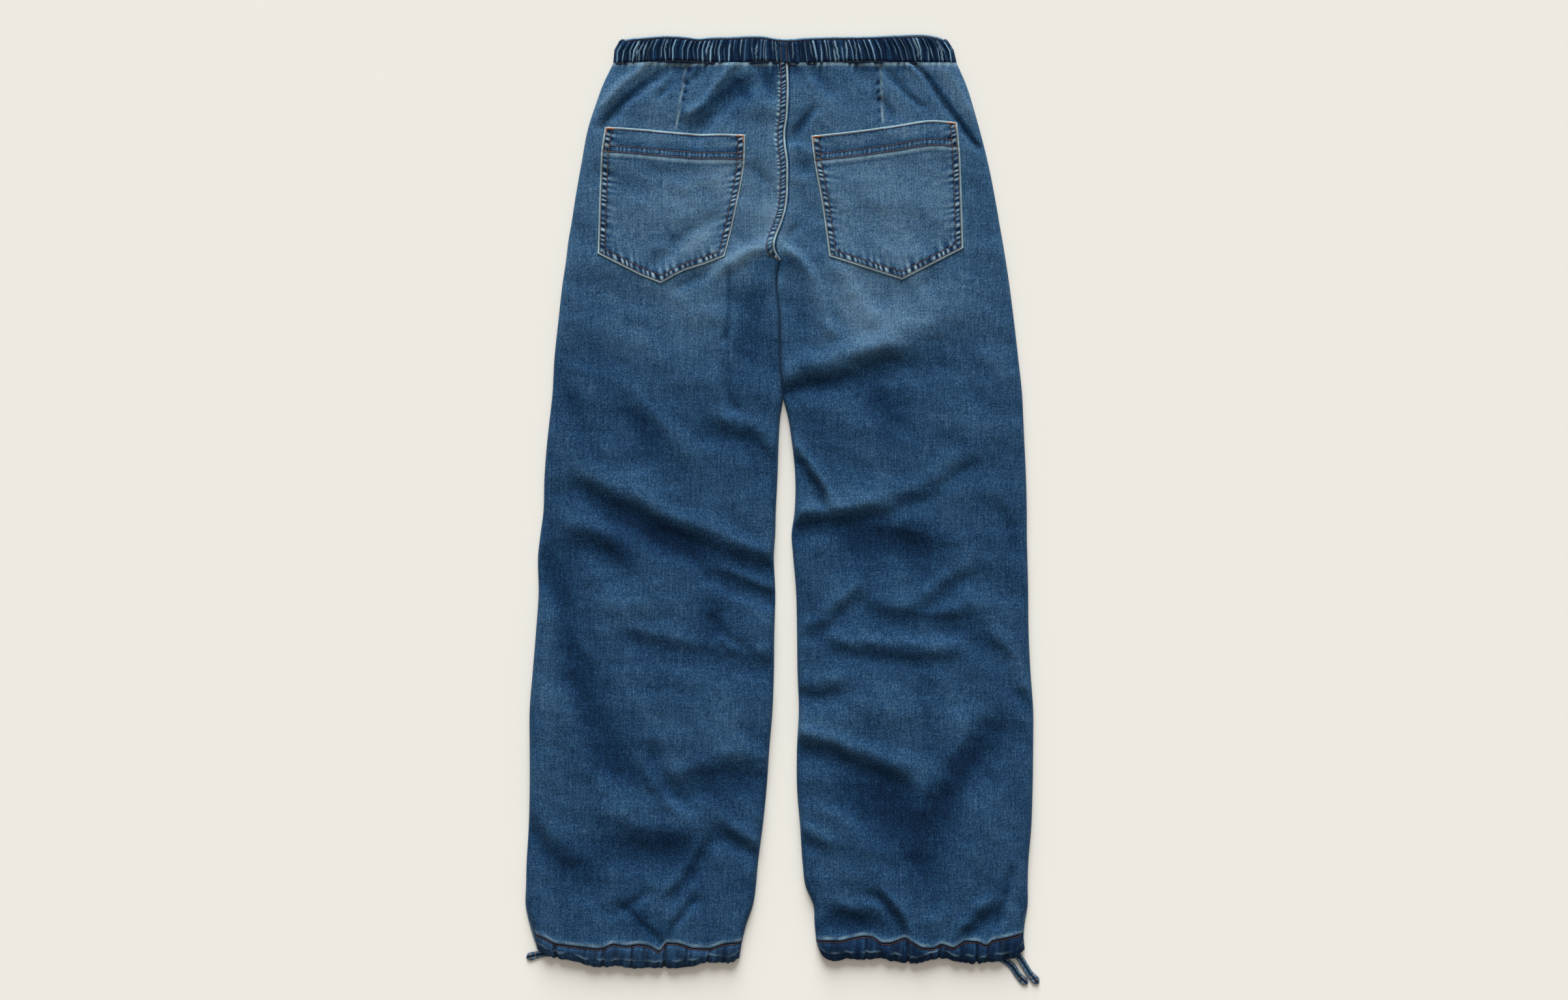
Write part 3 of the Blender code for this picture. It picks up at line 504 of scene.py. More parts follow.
def panelTop(leg, x, y):
    # top of a back panel before its edges roll down
    top = sectionValue("loft", y) + foldHeight(leg, x, y) + wrinkleHeight(x, y)
    floor = cut["lowestTop"]
    return floor + np.logaddexp(0.0, (top - floor) / cut["topBlend"]) * cut["topBlend"]


# Dye of the panels, and painted light and shade of their folds: a patch is an oval, its long side
# turned from +X in degrees, where the cloth is paler or darker, from washed-out dye and painted shade.
patch = namedtuple("patch", "x y long wide turn amount")
washAndShadePatches = [patch(*row) for row in [
    # seat and thighs
    (-120, 360, 110, 90, 90, 0.12), (120, 350, 110, 90, 90, 0.095), (-25, 330, 70, 40, 90, 0.12),
    (-60, 270, 50, 30, 0, 0.12), (-148, 452, 28, 26, 0, -0.04), (-52, 448, 34, 26, 0, -0.12),
    (-120, 195, 58, 52, 0, 0.13), (-35, 190, 45, 28, 90, -0.08), (-56, 220, 40, 2.4, 88, -0.18),
    (-51, 208, 42, 2.6, 88, 0.14), (-80, 210, 60, 22, 90, 0.09), (-30, 226, 34, 16, 90, -0.08),
    (-8, 262, 15, 12, 0, -0.26), (12, 267, 15, 6, 0, -0.2), (-32, 278, 32, 7, 25, 0.13),
    (17, 277, 20, 6, -32, 0.14), (-8, 314, 26, 9, 80, 0.14), (0, 432, 18, 12, 90, 0.1),
    (-57, 456, 20, 5, 38, -0.24), (-86, 432, 18, 5, 46, -0.2), (-15, 468, 18, 6, -66, -0.2),
    (-38, 454, 12, 5, -42, -0.22), (2, 388, 56, 13, 90, 0.1), (-8, 318, 34, 20, 80, 0.08),
    (28, 422, 16, 4.5, 60, -0.2), (24, 371, 9, 8, 0, -0.12), (46, 466, 16, 5, -60, -0.12),
    (-22, 360, 18, 5, -60, -0.12), (170, 466, 20, 2.6, -54, -0.26), (190, 439, 24, 2.6, -54, -0.34),
    (208, 411, 18, 3, -55, -0.24), (196, 456, 36, 8, -54, 0.14), (134, 461, 26, 2.4, -40, -0.2),
    (148, 470, 26, 4, -42, 0.1), (-148, 464, 22, 3.2, 34, -0.24), (-182, 436, 26, 3.4, 38, -0.22),
    (-172, 466, 40, 6, 40, 0.16), (-112, 468, 24, 4, 42, -0.14), (110, 452, 14, 5, -70, -0.1),
    (121, 432, 13, 5, -62, -0.14), (-98, 284, 44, 8, 43, 0.14), (-118, 296, 40, 7, 43, -0.08),
    (-74, 285, 22, 7, 38, -0.08), (-128, 369, 36, 13, 0, -0.12), (-62, 352, 28, 22, 0, 0.1),
    (-176, 348, 26, 24, 0, -0.08), (140, 345, 26, 18, 90, -0.05), (84, 232, 55, 42, 0, 0.22),
    (148, 212, 60, 32, 20, 0.17), (228, 185, 70, 28, 90, 0.08), (92, 188, 52, 22, 12, 0.1),
    (26, 196, 60, 17, 90, -0.08), (230, 330, 120, 25, 90, -0.06),
    # painted shade and light of the gathers under the waistband
    (-102, 481, 18, 7, 0, -0.3), (-3, 480, 10, 9, 0, -0.32), (17, 481, 13, 7, 0, -0.24),
    (95, 481, 14, 7, 0, -0.28), (133, 482, 8, 6, 0, -0.22), (-128, 477, 24, 7, 0, 0.12),
    (-37, 479, 20, 6, 0, 0.1), (154, 477, 22, 8, 0, 0.1),
    # left leg
    (-150, 84, 36, 20, -60, -0.11), (-48, 70, 32, 12, -12, -0.08), (-228, 105, 50, 12, -68, -0.08),
    (-140, 28, 60, 14, -25, 0.02), (-134, -34, 54, 17, -25, -0.3), (-52, -54, 36, 9, -16, -0.12),
    (-188, -50, 38, 16, -22, -0.18), (-72, -135, 30, 20, 80, -0.13), (-190, -120, 42, 28, 0, 0.05),
    (-225, -195, 105, 13, -78, -0.17), (-178, -300, 34, 11, -32, -0.16), (-180, -268, 34, 26, -40, -0.08),
    (-133, -310, 26, 6, -55, -0.1), (-255, -230, 110, 12, 90, 0.05), (-75, -240, 60, 22, 0, 0.05),
    (-55, -312, 44, 24, -20, -0.12), (-135, -376, 50, 20, 0, -0.19), (-222, -395, 34, 18, -35, -0.13),
    (-98, -408, 30, 9, 60, -0.06), (-148, -464, 20, 12, -45, -0.1),
    # right leg
    (42, 132, 36, 9, 10, -0.08), (120, 134, 30, 12, 8, 0.08), (118, 98, 34, 26, 90, -0.08),
    (34, 30, 24, 6, -52, -0.12), (60, 12, 50, 20, 0, 0.07), (130, -42, 56, 20, -8, -0.2),
    (55, -470, 16, 8, -20, -0.1), (256, -46, 36, 10, 90, -0.1), (150, -120, 46, 10, 0, -0.08),
    (140, -164, 70, 9, 0, -0.06), (40, -236, 32, 20, 0, 0.09), (75, -306, 54, 16, -15, -0.03),
    (134, -352, 60, 38, -60, -0.22), (198, -296, 66, 18, 56, -0.26), (154, -404, 20, 10, -60, -0.1),
    (92, -458, 34, 14, -8, -0.14), (130, -450, 28, 8, -52, -0.1), (214, -462, 26, 9, 38, -0.1),
    (257, -444, 42, 7, 72, 0.09), (205, 120, 50, 40, 90, 0.04),
]]
seatWashAndShade = {"base": 0.385, "seat": 0.17, "seatStart": 100.0, "seatFull": 330.0, "wearAndShadeByHeight": 0.024,
            "clouds": 0.05}


def panelToneAndShade(x, y, top):
    toneAndShade = seatWashAndShade["base"] + seatWashAndShade["seat"] * smoothstep(
        (y - seatWashAndShade["seatStart"]) / (seatWashAndShade["seatFull"] - seatWashAndShade["seatStart"]))
    # the patches add both washed-out dye and painted light and shade of folds
    for spot in washAndShadePatches:
        turn = math.radians(spot.turn)
        along = (x - spot.x) * math.cos(turn) + (y - spot.y) * math.sin(turn)
        across = (y - spot.y) * math.cos(turn) - (x - spot.x) * math.sin(turn)
        toneAndShade = toneAndShade + spot.amount * np.exp(-(along / spot.long) ** 2 - (across / spot.wide) ** 2)
    # raised cloth is paler, rubbed; low cloth is darker, painted shade in the hollows
    raised = np.clip(top - sectionValue("loft", y), -6.0, 6.0)
    return toneAndShade + seatWashAndShade["wearAndShadeByHeight"] * raised + seatWashAndShade["clouds"] * wrinkleHeight(y, x)


# A soft line is given by three numbers: where it lies, how wide and how strong it is. The panels'
# columns are close together over a leg's rolled sides.
panelLook = {
    "sideWidth": 9.0, "sidePitch": 1.3, "middleColumns": 89, "rowPitch": 2.3,
    "hemRidge": (2.0, 2.4, 1.2), "hemWear": (1.6, 1.3, 0.66), "hemWash": (3.0, 4.0, 0.1), "rubPitch": 23.0,
    "flutes": 1.1, "flutePitch": 8.5, "fluteChange": 31.0, "fluteReach": 10.0,
    "fluteShading": 0.34, "fluteDeepShade": 0.12, "fluteShadingReach": 8.0, "waistWear": (1.2, 2.0, 1.0),
    "seamEdgeShadow": (0.9, 1.2, 0.5),
    "dartGroove": (0.0, 1.2, 0.8), "dartGrooveShade": (0.0, 1.1, 0.3), "dartWear": (0.0, 0.9, 1.0),
    "dartShade": (2.5, 3.0, 0.08), "dartSide": (3.0, 3.2, 1.0), "dartPucker": 0.7, "dartPitch": 10.5,
}


def panelPlace(leg):
    look = panelLook
    edge = np.arange(0.0, look["sideWidth"], look["sidePitch"])
    middle = np.linspace(0.0, 1.0, look["middleColumns"] + 1)
    columns = 2 * len(edge) + len(middle) - 1

    def place(u, v):
        y = cut["hemSeam"] + v * (cut["waistSeam"] - cut["hemSeam"])
        left, right = legEdges(leg, y)
        width = right - left
        column = np.rint(u * columns).astype(int)
        inner = edge[-1] + look["sidePitch"]
        fromLeft = np.select(
            [column < len(edge), column > columns - len(edge)],
            [edge[np.minimum(column, len(edge) - 1)],
             width - edge[np.clip(columns - column, 0, len(edge) - 1)]],
            inner + (width - 2 * inner) * middle[np.clip(column - len(edge), 0, len(middle) - 1)])
        x = left + fromLeft
        hem = hemAt(leg, x)
        nearHem = smoothstep((cut["hemSeam"] + cut["hemBlend"] - y) / cut["hemBlend"])
        y = y + nearHem * (hem - cut["hemSeam"])
        top = panelTop(leg, x, y)
        toneAndShade = panelToneAndShade(x, y, top)

        # the ridge over the hem seam is rubbed
        fromHem = y - hem
        rubbed = 0.6 + 0.4 * uneven(x, look["rubPitch"], 1.0)
        top = top + softLine(fromHem, *look["hemRidge"])
        wear = rubbed * softLine(fromHem, *look["hemWear"])
        toneAndShade = toneAndShade + rubbed * softLine(fromHem, *look["hemWash"])

        # short flutes under the waistband, their crests painted lighter and their hollows painted with
        # shade
        fromWaist = cut["waistSeam"] - y
        deep = np.clip(0.5 + 0.6 * uneven(x, look["fluteChange"], 4.0), 0.15, 1.0)
        flutes = uneven(x + 0.15 * fromWaist, look["flutePitch"], 2.0) * deep
        top = top + look["flutes"] * flutes * np.exp(-fromWaist / look["fluteReach"])
        shade = look["fluteShading"] * flutes - look["fluteDeepShade"] * deep
        toneAndShade = toneAndShade + shade * np.exp(-fromWaist / look["fluteShadingReach"])
        wear = wear + softLine(fromWaist, *look["waistWear"]) * np.clip(0.5 + 0.5 * flutes, 0.0, 1.0)

        # a painted shadow line just past the folded edge of the seat seam
        seamX, seamY = np.array(seatSeam["foldEdge"], float)[::-1].T
        seamEdgeShadow = softLine(x - np.interp(y, seamY, seamX), *look["seamEdgeShadow"])
        toneAndShade = toneAndShade - seamEdgeShadow * smoothstep((y - cut["crotch"] - 3.0) / 8.0)

        # a dart puckers on the side of the seat seam; its pucker hollows and its groove are painted with
        # shade
        along, off = alongAndOff(darts[leg], x, y, 20.0)
        inwards = -off if leg == "left" else off
        inDart = smoothstep(along / 0.04) * smoothstep((1.0 - along) / 0.06)
        pull = uneven(y + 0.5 * inwards, look["dartPitch"], 1.0)
        pucker = inDart * pull * softLine(inwards, *look["dartSide"]) * (1.0 - 0.5 * along)
        top = top + look["dartPucker"] * pucker - inDart * softLine(off, *look["dartGroove"])
        # pucker hollows get painted shade, their crests a little painted light
        toneAndShade = toneAndShade + np.minimum(pucker, 0.2 * pucker) - inDart * softLine(inwards, *look["dartShade"])
        toneAndShade = toneAndShade - inDart * (1.0 - along) ** 2 * softLine(off, *look["dartGrooveShade"])
        wear = wear + inDart * np.clip(0.25 + 0.5 * along, 0.0, 0.6) * softLine(off, *look["dartWear"])

        turned = belowCrotch(y)
        fromSides = (fromLeft, width - fromLeft)
        outer, inner = fromSides if leg == "left" else fromSides[::-1]
        drop = top - cut["jointHeight"]
        z = cut["jointHeight"] + drop * roll(outer, cut["outerRoll"])
        z = z - turned * drop * (1.0 - roll(inner, cut["innerRoll"]))
        return x, y, z, toneAndShade, wear

    return columns, place


# Denim: its colours from the darkest to the most worn, and how strong each part of the weave is.
# A noise has a size across, a size along and a detail.
dye = {
    "night": (0.0014, 0.0095, 0.031),
    "indigo": (0.007, 0.035, 0.09),
    "washed": (0.034, 0.094, 0.18),
    "faded": (0.13, 0.225, 0.32),
    "worn": (0.32, 0.46, 0.51),
    "rubbedBand": (0.31, 0.52, 0.68),
    "twillPitch": 1.6, "twillTurn": 42.0, "twill": 0.12,
    "slub": 0.5, "weft": 0.3, "grain": 1.05, "heather": 0.85,
    "noises": {"slub": (1.3, 36.0, 2.0), "weft": (30.0, 0.9, 2.0), "grain": (0.7, 0.7, 1.0),
               "heather": (1.6, 1.9, 1.0)},
    "bump": 0.5, "bumpDepth": 0.25,
    "gloss": 0.08, "sheen": 0.06, "sheenTint": (0.35, 0.6, 1.0),
}


def addNode(tree, kind, settings=None, **sockets):
    node = tree.nodes.new(kind)
    for key, value in (settings or {}).items():
        setattr(node, key, value)
    for key, value in sockets.items():
        socket = node.inputs[key]
        if isinstance(value, bpy.types.NodeSocket):
            tree.links.new(value, socket)
        else:
            socket.default_value = value
    return node


def calc(tree, operation, a, b):
    node = tree.nodes.new("ShaderNodeMath")
    node.operation = operation
    for socket, value in zip(node.inputs, (a, b)):
        if isinstance(value, bpy.types.NodeSocket):
            tree.links.new(value, socket)
        else:
            socket.default_value = value
    return node.outputs[0]


def yarnNoise(tree, place, across, along, detail):
    # noise with a grain: millimetres across and along
    scale = (1.0 / (across * mm), 1.0 / (along * mm), 1.0 / (across * mm))
    mapped = addNode(tree, "ShaderNodeMapping", Vector=place, Scale=scale)
    noise = addNode(tree, "ShaderNodeTexNoise", Vector=mapped.outputs[0], Scale=1.0, Detail=detail,
                    Roughness=0.6)
    return calc(tree, "SUBTRACT", noise.outputs["Fac"], 0.5)


def denim(name, contrast=1.0, worn="worn"):
    look = bpy.data.materials.new(name)
    look.use_nodes = True
    tree = look.node_tree
    shader = tree.nodes["Principled BSDF"]
    shader.inputs["Roughness"].default_value = 0.9
    shader.inputs["Specular IOR Level"].default_value = dye["gloss"]
    shader.inputs["Sheen Weight"].default_value = dye["sheen"]
    shader.inputs["Sheen Roughness"].default_value = 0.6
    shader.inputs["Sheen Tint"].default_value = (*dye["sheenTint"], 1.0)
    place = addNode(tree, "ShaderNodeTexCoord").outputs["Object"]
    # the tone read here is the dye with painted light and shade added to it
    toneAndShade = addNode(tree, "ShaderNodeAttribute", {"attribute_name": "toneAndShade"}).outputs["Fac"]
    wear = addNode(tree, "ShaderNodeAttribute", {"attribute_name": "wear"}).outputs["Fac"]

    turned = addNode(tree, "ShaderNodeMapping", Vector=place,
                     Rotation=(0.0, 0.0, math.radians(dye["twillTurn"])))
    bands = addNode(tree, "ShaderNodeTexWave", Vector=turned.outputs[0],
                    Scale=math.pi / 10.0 / (dye["twillPitch"] * mm), Distortion=1.2, Detail=1.0)
    bands.inputs["Detail Scale"].default_value = 1.5
    weave = {"twill": calc(tree, "SUBTRACT", bands.outputs["Fac"], 0.5)}
    for part, sizes in dye["noises"].items():
        weave[part] = yarnNoise(tree, place, *sizes)
    twill, slub, grain = weave["twill"], weave["slub"], weave["grain"]

    tone = toneAndShade
    for part, pattern in weave.items():
        tone = calc(tree, "ADD", tone, calc(tree, "MULTIPLY", pattern, dye[part] * contrast))
    ramp = tree.nodes.new("ShaderNodeValToRGB")
    tree.links.new(tone, ramp.inputs[0])
    stops = ramp.color_ramp.elements
    stops[0].position, stops[0].color = 0.0, (*dye["night"], 1.0)
    stops[1].position, stops[1].color = 1.0, (*dye["faded"], 1.0)
    for position, colour in ((0.3, "indigo"), (0.62, "washed")):
        stops.new(position).color = (*dye[colour], 1.0)

    patchy = calc(tree, "ADD", calc(tree, "MULTIPLY", grain, 0.9), calc(tree, "MULTIPLY", slub, 0.5))
    rubbed = calc(tree, "MULTIPLY", wear, calc(tree, "ADD", patchy, 0.9))
    rubbed.node.use_clamp = True
    mix = addNode(tree, "ShaderNodeMix", {"data_type": "RGBA"})
    tree.links.new(rubbed, mix.inputs[0])
    tree.links.new(ramp.outputs["Color"], mix.inputs[6])
    mix.inputs[7].default_value = (*dye[worn], 1.0)
    tree.links.new(mix.outputs[2], shader.inputs["Base Color"])

    relief = calc(tree, "ADD", calc(tree, "MULTIPLY", twill, 0.6), calc(tree, "ADD", slub, grain))
    bump = addNode(tree, "ShaderNodeBump", Height=relief, Strength=dye["bump"],
                   Distance=dye["bumpDepth"] * mm)
    tree.links.new(bump.outputs[0], shader.inputs["Normal"])
    return look


cloths = {
    "back": denim("denimBack"),
    "pocket": denim("denimPocket"),
    "casing": denim("denimCasing", 0.8),
    "band": denim("denimBand", 0.8, "rubbedBand"),
    "front": denim("denimFront"),
}


def buildPanels():
    for leg in ("left", "right"):
        columns, place = panelPlace(leg)
        rows = round((cut["waistSeam"] - cut["hemSeam"]) / panelLook["rowPitch"])
        panel = clothSheet("backPanel_" + leg, columns, rows, place, cut["denim"])
        finishPiece(panel, cloths["back"], ["back_" + leg])


buildPanels()


# Sewing: one stitch is modelled and copied along each row.
thread = {
    "pitch": 2.5, "length": 2.15, "thick": 0.78, "sunk": 0.05, "lean": 0.12,
    "shadow": 0.42, "shadowWidth": 1.3, "bedWidth": 0.8,
}
threads = {
    "copper": principled("threadCopper", (0.15, 0.066, 0.045), 0.6),
    "dark": principled("threadDark", (0.05, 0.026, 0.03), 0.6),
    "orange": principled("threadOrange", (0.5, 0.19, 0.07), 0.6),
}


def oneStitch():
    bpy.ops.mesh.primitive_uv_sphere_add(segments=6, ring_count=4, radius=0.5)
    piece = bpy.context.active_object
    points = readPoints(piece)
    faces = [tuple(face.vertices) for face in piece.data.polygons]
    mesh = piece.data
    bpy.data.objects.remove(piece)
    bpy.data.meshes.remove(mesh)
    return points[:, [2, 0, 1]], faces      # its poles at the two ends


stitchPoints, stitchFaces = oneStitch()


def rowLines(offs, width):
    # a soft line on each stitch row, from the distances to the rows
    return sum(bell(off, width) for off in offs)


def threadShadow(offs):
    return thread["shadow"] * rowLines(offs, thread["shadowWidth"])


def stitchesOn(surface, u, v):
    # middle, direction and size of each stitch of a row that runs over a surface
    line = np.stack(surface(u, v)[:3], axis=1)
    run, pitch = runAlong(line), thread["pitch"]
    found = []
    for at in np.arange(0.5 * pitch, run[-1], pitch):
        a, b = (np.array([np.interp(at + shift * pitch, run, line[:, i]) for i in range(3)])
                for shift in (-0.3, 0.3))
        along = (b - a) / max(np.linalg.norm(b - a), 1e-6)
        found.append(((a + b) / 2.0, along, (thread["length"], thread["thick"])))
    return found


def sew(name, stitches, colour):
    # all the stitches of one piece, joined
    points, faces = [], []
    for k, (middle, along, (length, thick)) in enumerate(stitches):
        across = np.cross((0.0, 0.0, 1.0), along)
        across /= max(np.linalg.norm(across), 1e-6)
        up = np.cross(along, across)
        lean = thread["lean"] * math.sin(2.4 * k)
        along = along * math.cos(lean) + across * math.sin(lean)
        across = np.cross(up, along)
        shape = (stitchPoints[:, :1] * along * length + stitchPoints[:, 1:2] * across * thick
                 + stitchPoints[:, 2:] * up * thick)
        offset = len(stitchPoints) * k
        points.append(shape + middle + up * (thick / 2.0 - thread["sunk"]))
        faces += [tuple(v + offset for v in face) for face in stitchFaces]
    finishPiece(meshPiece(name, np.concatenate(points), faces), threads[colour], [])
    print("%s: %d stitches" % (name, len(stitches)))


# The felled seam down the middle of the seat.
def seamPoints(inset, share):
    # x, y and height at a distance from the folded edge and a share of the seam's length
    route = evenly(smoothPath(seatSeam["foldEdge"]), 0.8)
    side = -leftOf(route)       # it runs down from the waist, and the strip lies on the left leg
    at = (1.0 - share) * (len(route) - 1)
    here = np.arange(len(route))
    left = share * runAlong(route)[-1]
    narrow = seatSeam["endWidth"] / seatSeam["width"]
    taper = narrow + (1.0 - narrow) * smoothstep(left / seatSeam["endTaper"])
    x = np.interp(at, here, route[:, 0]) + np.interp(at, here, side[:, 0]) * inset * taper
    y = np.interp(at, here, route[:, 1]) + np.interp(at, here, side[:, 1]) * inset * taper
    low, high = seatSeam["rows"]
    rope = uneven(left + 0.5 * inset, seatSeam["ropePitch"], 3.0)
    between = within(inset, low, high)
    z = panelTop("left", x, y) + seatSeam["rise"] * roll(inset, 1.1)
    z = z - (seatSeam["rise"] - 0.1) * smoothstep((inset - high - 0.3) / 1.6)
    z = z + seatSeam["rope"] * rope * between
    z = z - seatSeam["bed"] * rowLines([inset - low, inset - high], thread["bedWidth"])
    return x, y, z, rope, between


def seamPlace(u, v):
    inset = (1.0 - u) * seatSeam["width"]
    x, y, z, rope, between = seamPoints(inset, v)
    toneAndShade = panelToneAndShade(x, y, panelTop("left", x, y))
    toneAndShade = toneAndShade + between * (seatSeam["ropeWash"] * rope - 0.15)
    # painted shade just below the waistband
    toneAndShade = toneAndShade - seatSeam["belowBandShade"] * smoothstep((v - 0.88) / 0.08)
    toneAndShade = toneAndShade - threadShadow([inset - row for row in seatSeam["rows"]])
    wear = seatSeam["edgeWear"] * (1.0 - smoothstep((inset - 1.4) / 0.8))
    wear = wear + seatSeam["ropeWear"] * between * np.clip(rope, 0.0, 1.0)

    # beside the seam the cloth is rubbed in short bars
    beyond = inset - seatSeam["rows"][1]
    bars = uneven(220.0 * v - 0.2 * inset, seatSeam["barPitch"], 5.0)
    bars = bars * smoothstep((beyond - 0.4) / 0.8) * (1.0 - smoothstep((beyond - 2.4) / 2.6))
    bars = bars * (0.25 + 0.75 * smoothstep((v - 0.15) / 0.4)) * smoothstep((0.97 - v) / 0.05)
    wear = wear + seatSeam["bars"] * np.clip(bars, 0.0, 1.0)
    return x, y, z, toneAndShade + seatSeam["barWash"] * bars, wear


def buildSeatSeam():
    strip = clothSheet("seatSeam", 17, 320, seamPlace, seatSeam["wall"])
    finishPiece(strip, cloths["back"], ["back_left"])
    share = np.linspace(0.0, 1.0, 300)
    stitches = []
    for row in seatSeam["rows"]:
        stitches += stitchesOn(seamPoints, np.full(share.shape, row), share)
    sew("seatSeamStitches", stitches, "copper")


buildSeatSeam()


# Patch pockets: their four edges, and what is sewn on them.
pocketEdges = {
    "left": {
        "upper": [(-193, 416), (-153, 413.5), (-115, 410), (-85, 408), (-62, 408), (-37, 407)],
        "lower": [(-201, 275), (-153, 250.6), (-131, 242), (-116, 250.6), (-104, 256.5), (-83, 263),
                  (-60, 272)],
        "leftSide": [(-201, 275), (-198.4, 357), (-197, 387), (-193, 416)],
        "rightSide": [(-60, 272), (-54.4, 293), (-46.7, 327), (-37.8, 378), (-37, 407)],
    },
    "right": {
        "upper": [(35, 406), (81, 410.7), (126, 417), (169, 423), (197, 421)],
        "lower": [(55, 272), (136, 246), (204, 281)],
        "leftSide": [(55, 272), (46.3, 334), (38, 380), (35, 406)],
        "rightSide": [(204, 281), (202.5, 327), (200.2, 387), (197, 421)],
    },
}
pocketLook = {
    "pitch": 1.15, "size": (168, 152), "edgeRoll": 1.4, "outerRow": 2.5, "innerRow": 8.4,
    "lowShare": 0.92,       # the lower edges slope, and so lie nearer than straight down
    "topRow": 2.6, "hemRows": (21.0, 27.6), "hemStep": 0.7, "bed": 0.4,
    "ropePitch": 6.2, "rope": 0.42, "ropeWash": 0.55, "ropeWear": 1.25,
    "puckerPitch": 8.5, "puckers": 0.35, "puckerWash": 0.55, "puckerWear": 0.5,
    "hemRopePitch": 4.4, "hemRope": 0.3, "hemRopeWash": 0.22, "hemRopeWear": 0.25,
    "hemLip": (31.1, 2.6, 0.4), "lipWear": (30.8, 1.8, 0.42),
    "shades": [(18.5, 2.6, -0.1), (9.0, 4.5, 0.1), (30.6, 2.6, 0.16), (35.1, 1.6, -0.14)],
    "ripplePitch": 5.5, "rippleShade": (12.0, 7.0, 0.07),
    "edgeWear": 1.1, "edgeShadow": 0.4, "foldDark": (2.0, 0.5, 0.3),
    "paler": {"left": 0.05, "right": 0.09},
}


def edgeAt(points, share, straight):
    points = np.asarray(points, float)
    run = runAlong(points)
    at = share * run[-1]
    columns = (np.interp(at, run, c) if straight else through(run, c, at) for c in points.T)
    return np.stack(list(columns), axis=-1)


def pocketPlan(leg, u, v):
    # the point of a pocket between its four edges, and its distances from them
    edges = pocketEdges[leg]
    low, high = edgeAt(edges["lower"], u, True), edgeAt(edges["upper"], u, False)
    left, right = edgeAt(edges["leftSide"], v, False), edgeAt(edges["rightSide"], v, False)
    corners = {name: np.array(edges[side][k], float) for name, side, k in (
        ("lowLeft", "lower", 0), ("lowRight", "lower", -1), ("highLeft", "upper", 0),
        ("highRight", "upper", -1))}
    a, b = u[:, None], v[:, None]
    plan = ((1 - b) * low + b * high + (1 - a) * left + a * right
            - (1 - a) * (1 - b) * corners["lowLeft"] - a * (1 - b) * corners["lowRight"]
            - (1 - a) * b * corners["highLeft"] - a * b * corners["highRight"])
    width = np.linalg.norm(right - left, axis=1)
    height = np.linalg.norm(high - low, axis=1)
    fromLow = height * v * pocketLook["lowShare"]
    return plan[:, 0], plan[:, 1], width * u, width * (1 - u), fromLow, height * (1 - v)


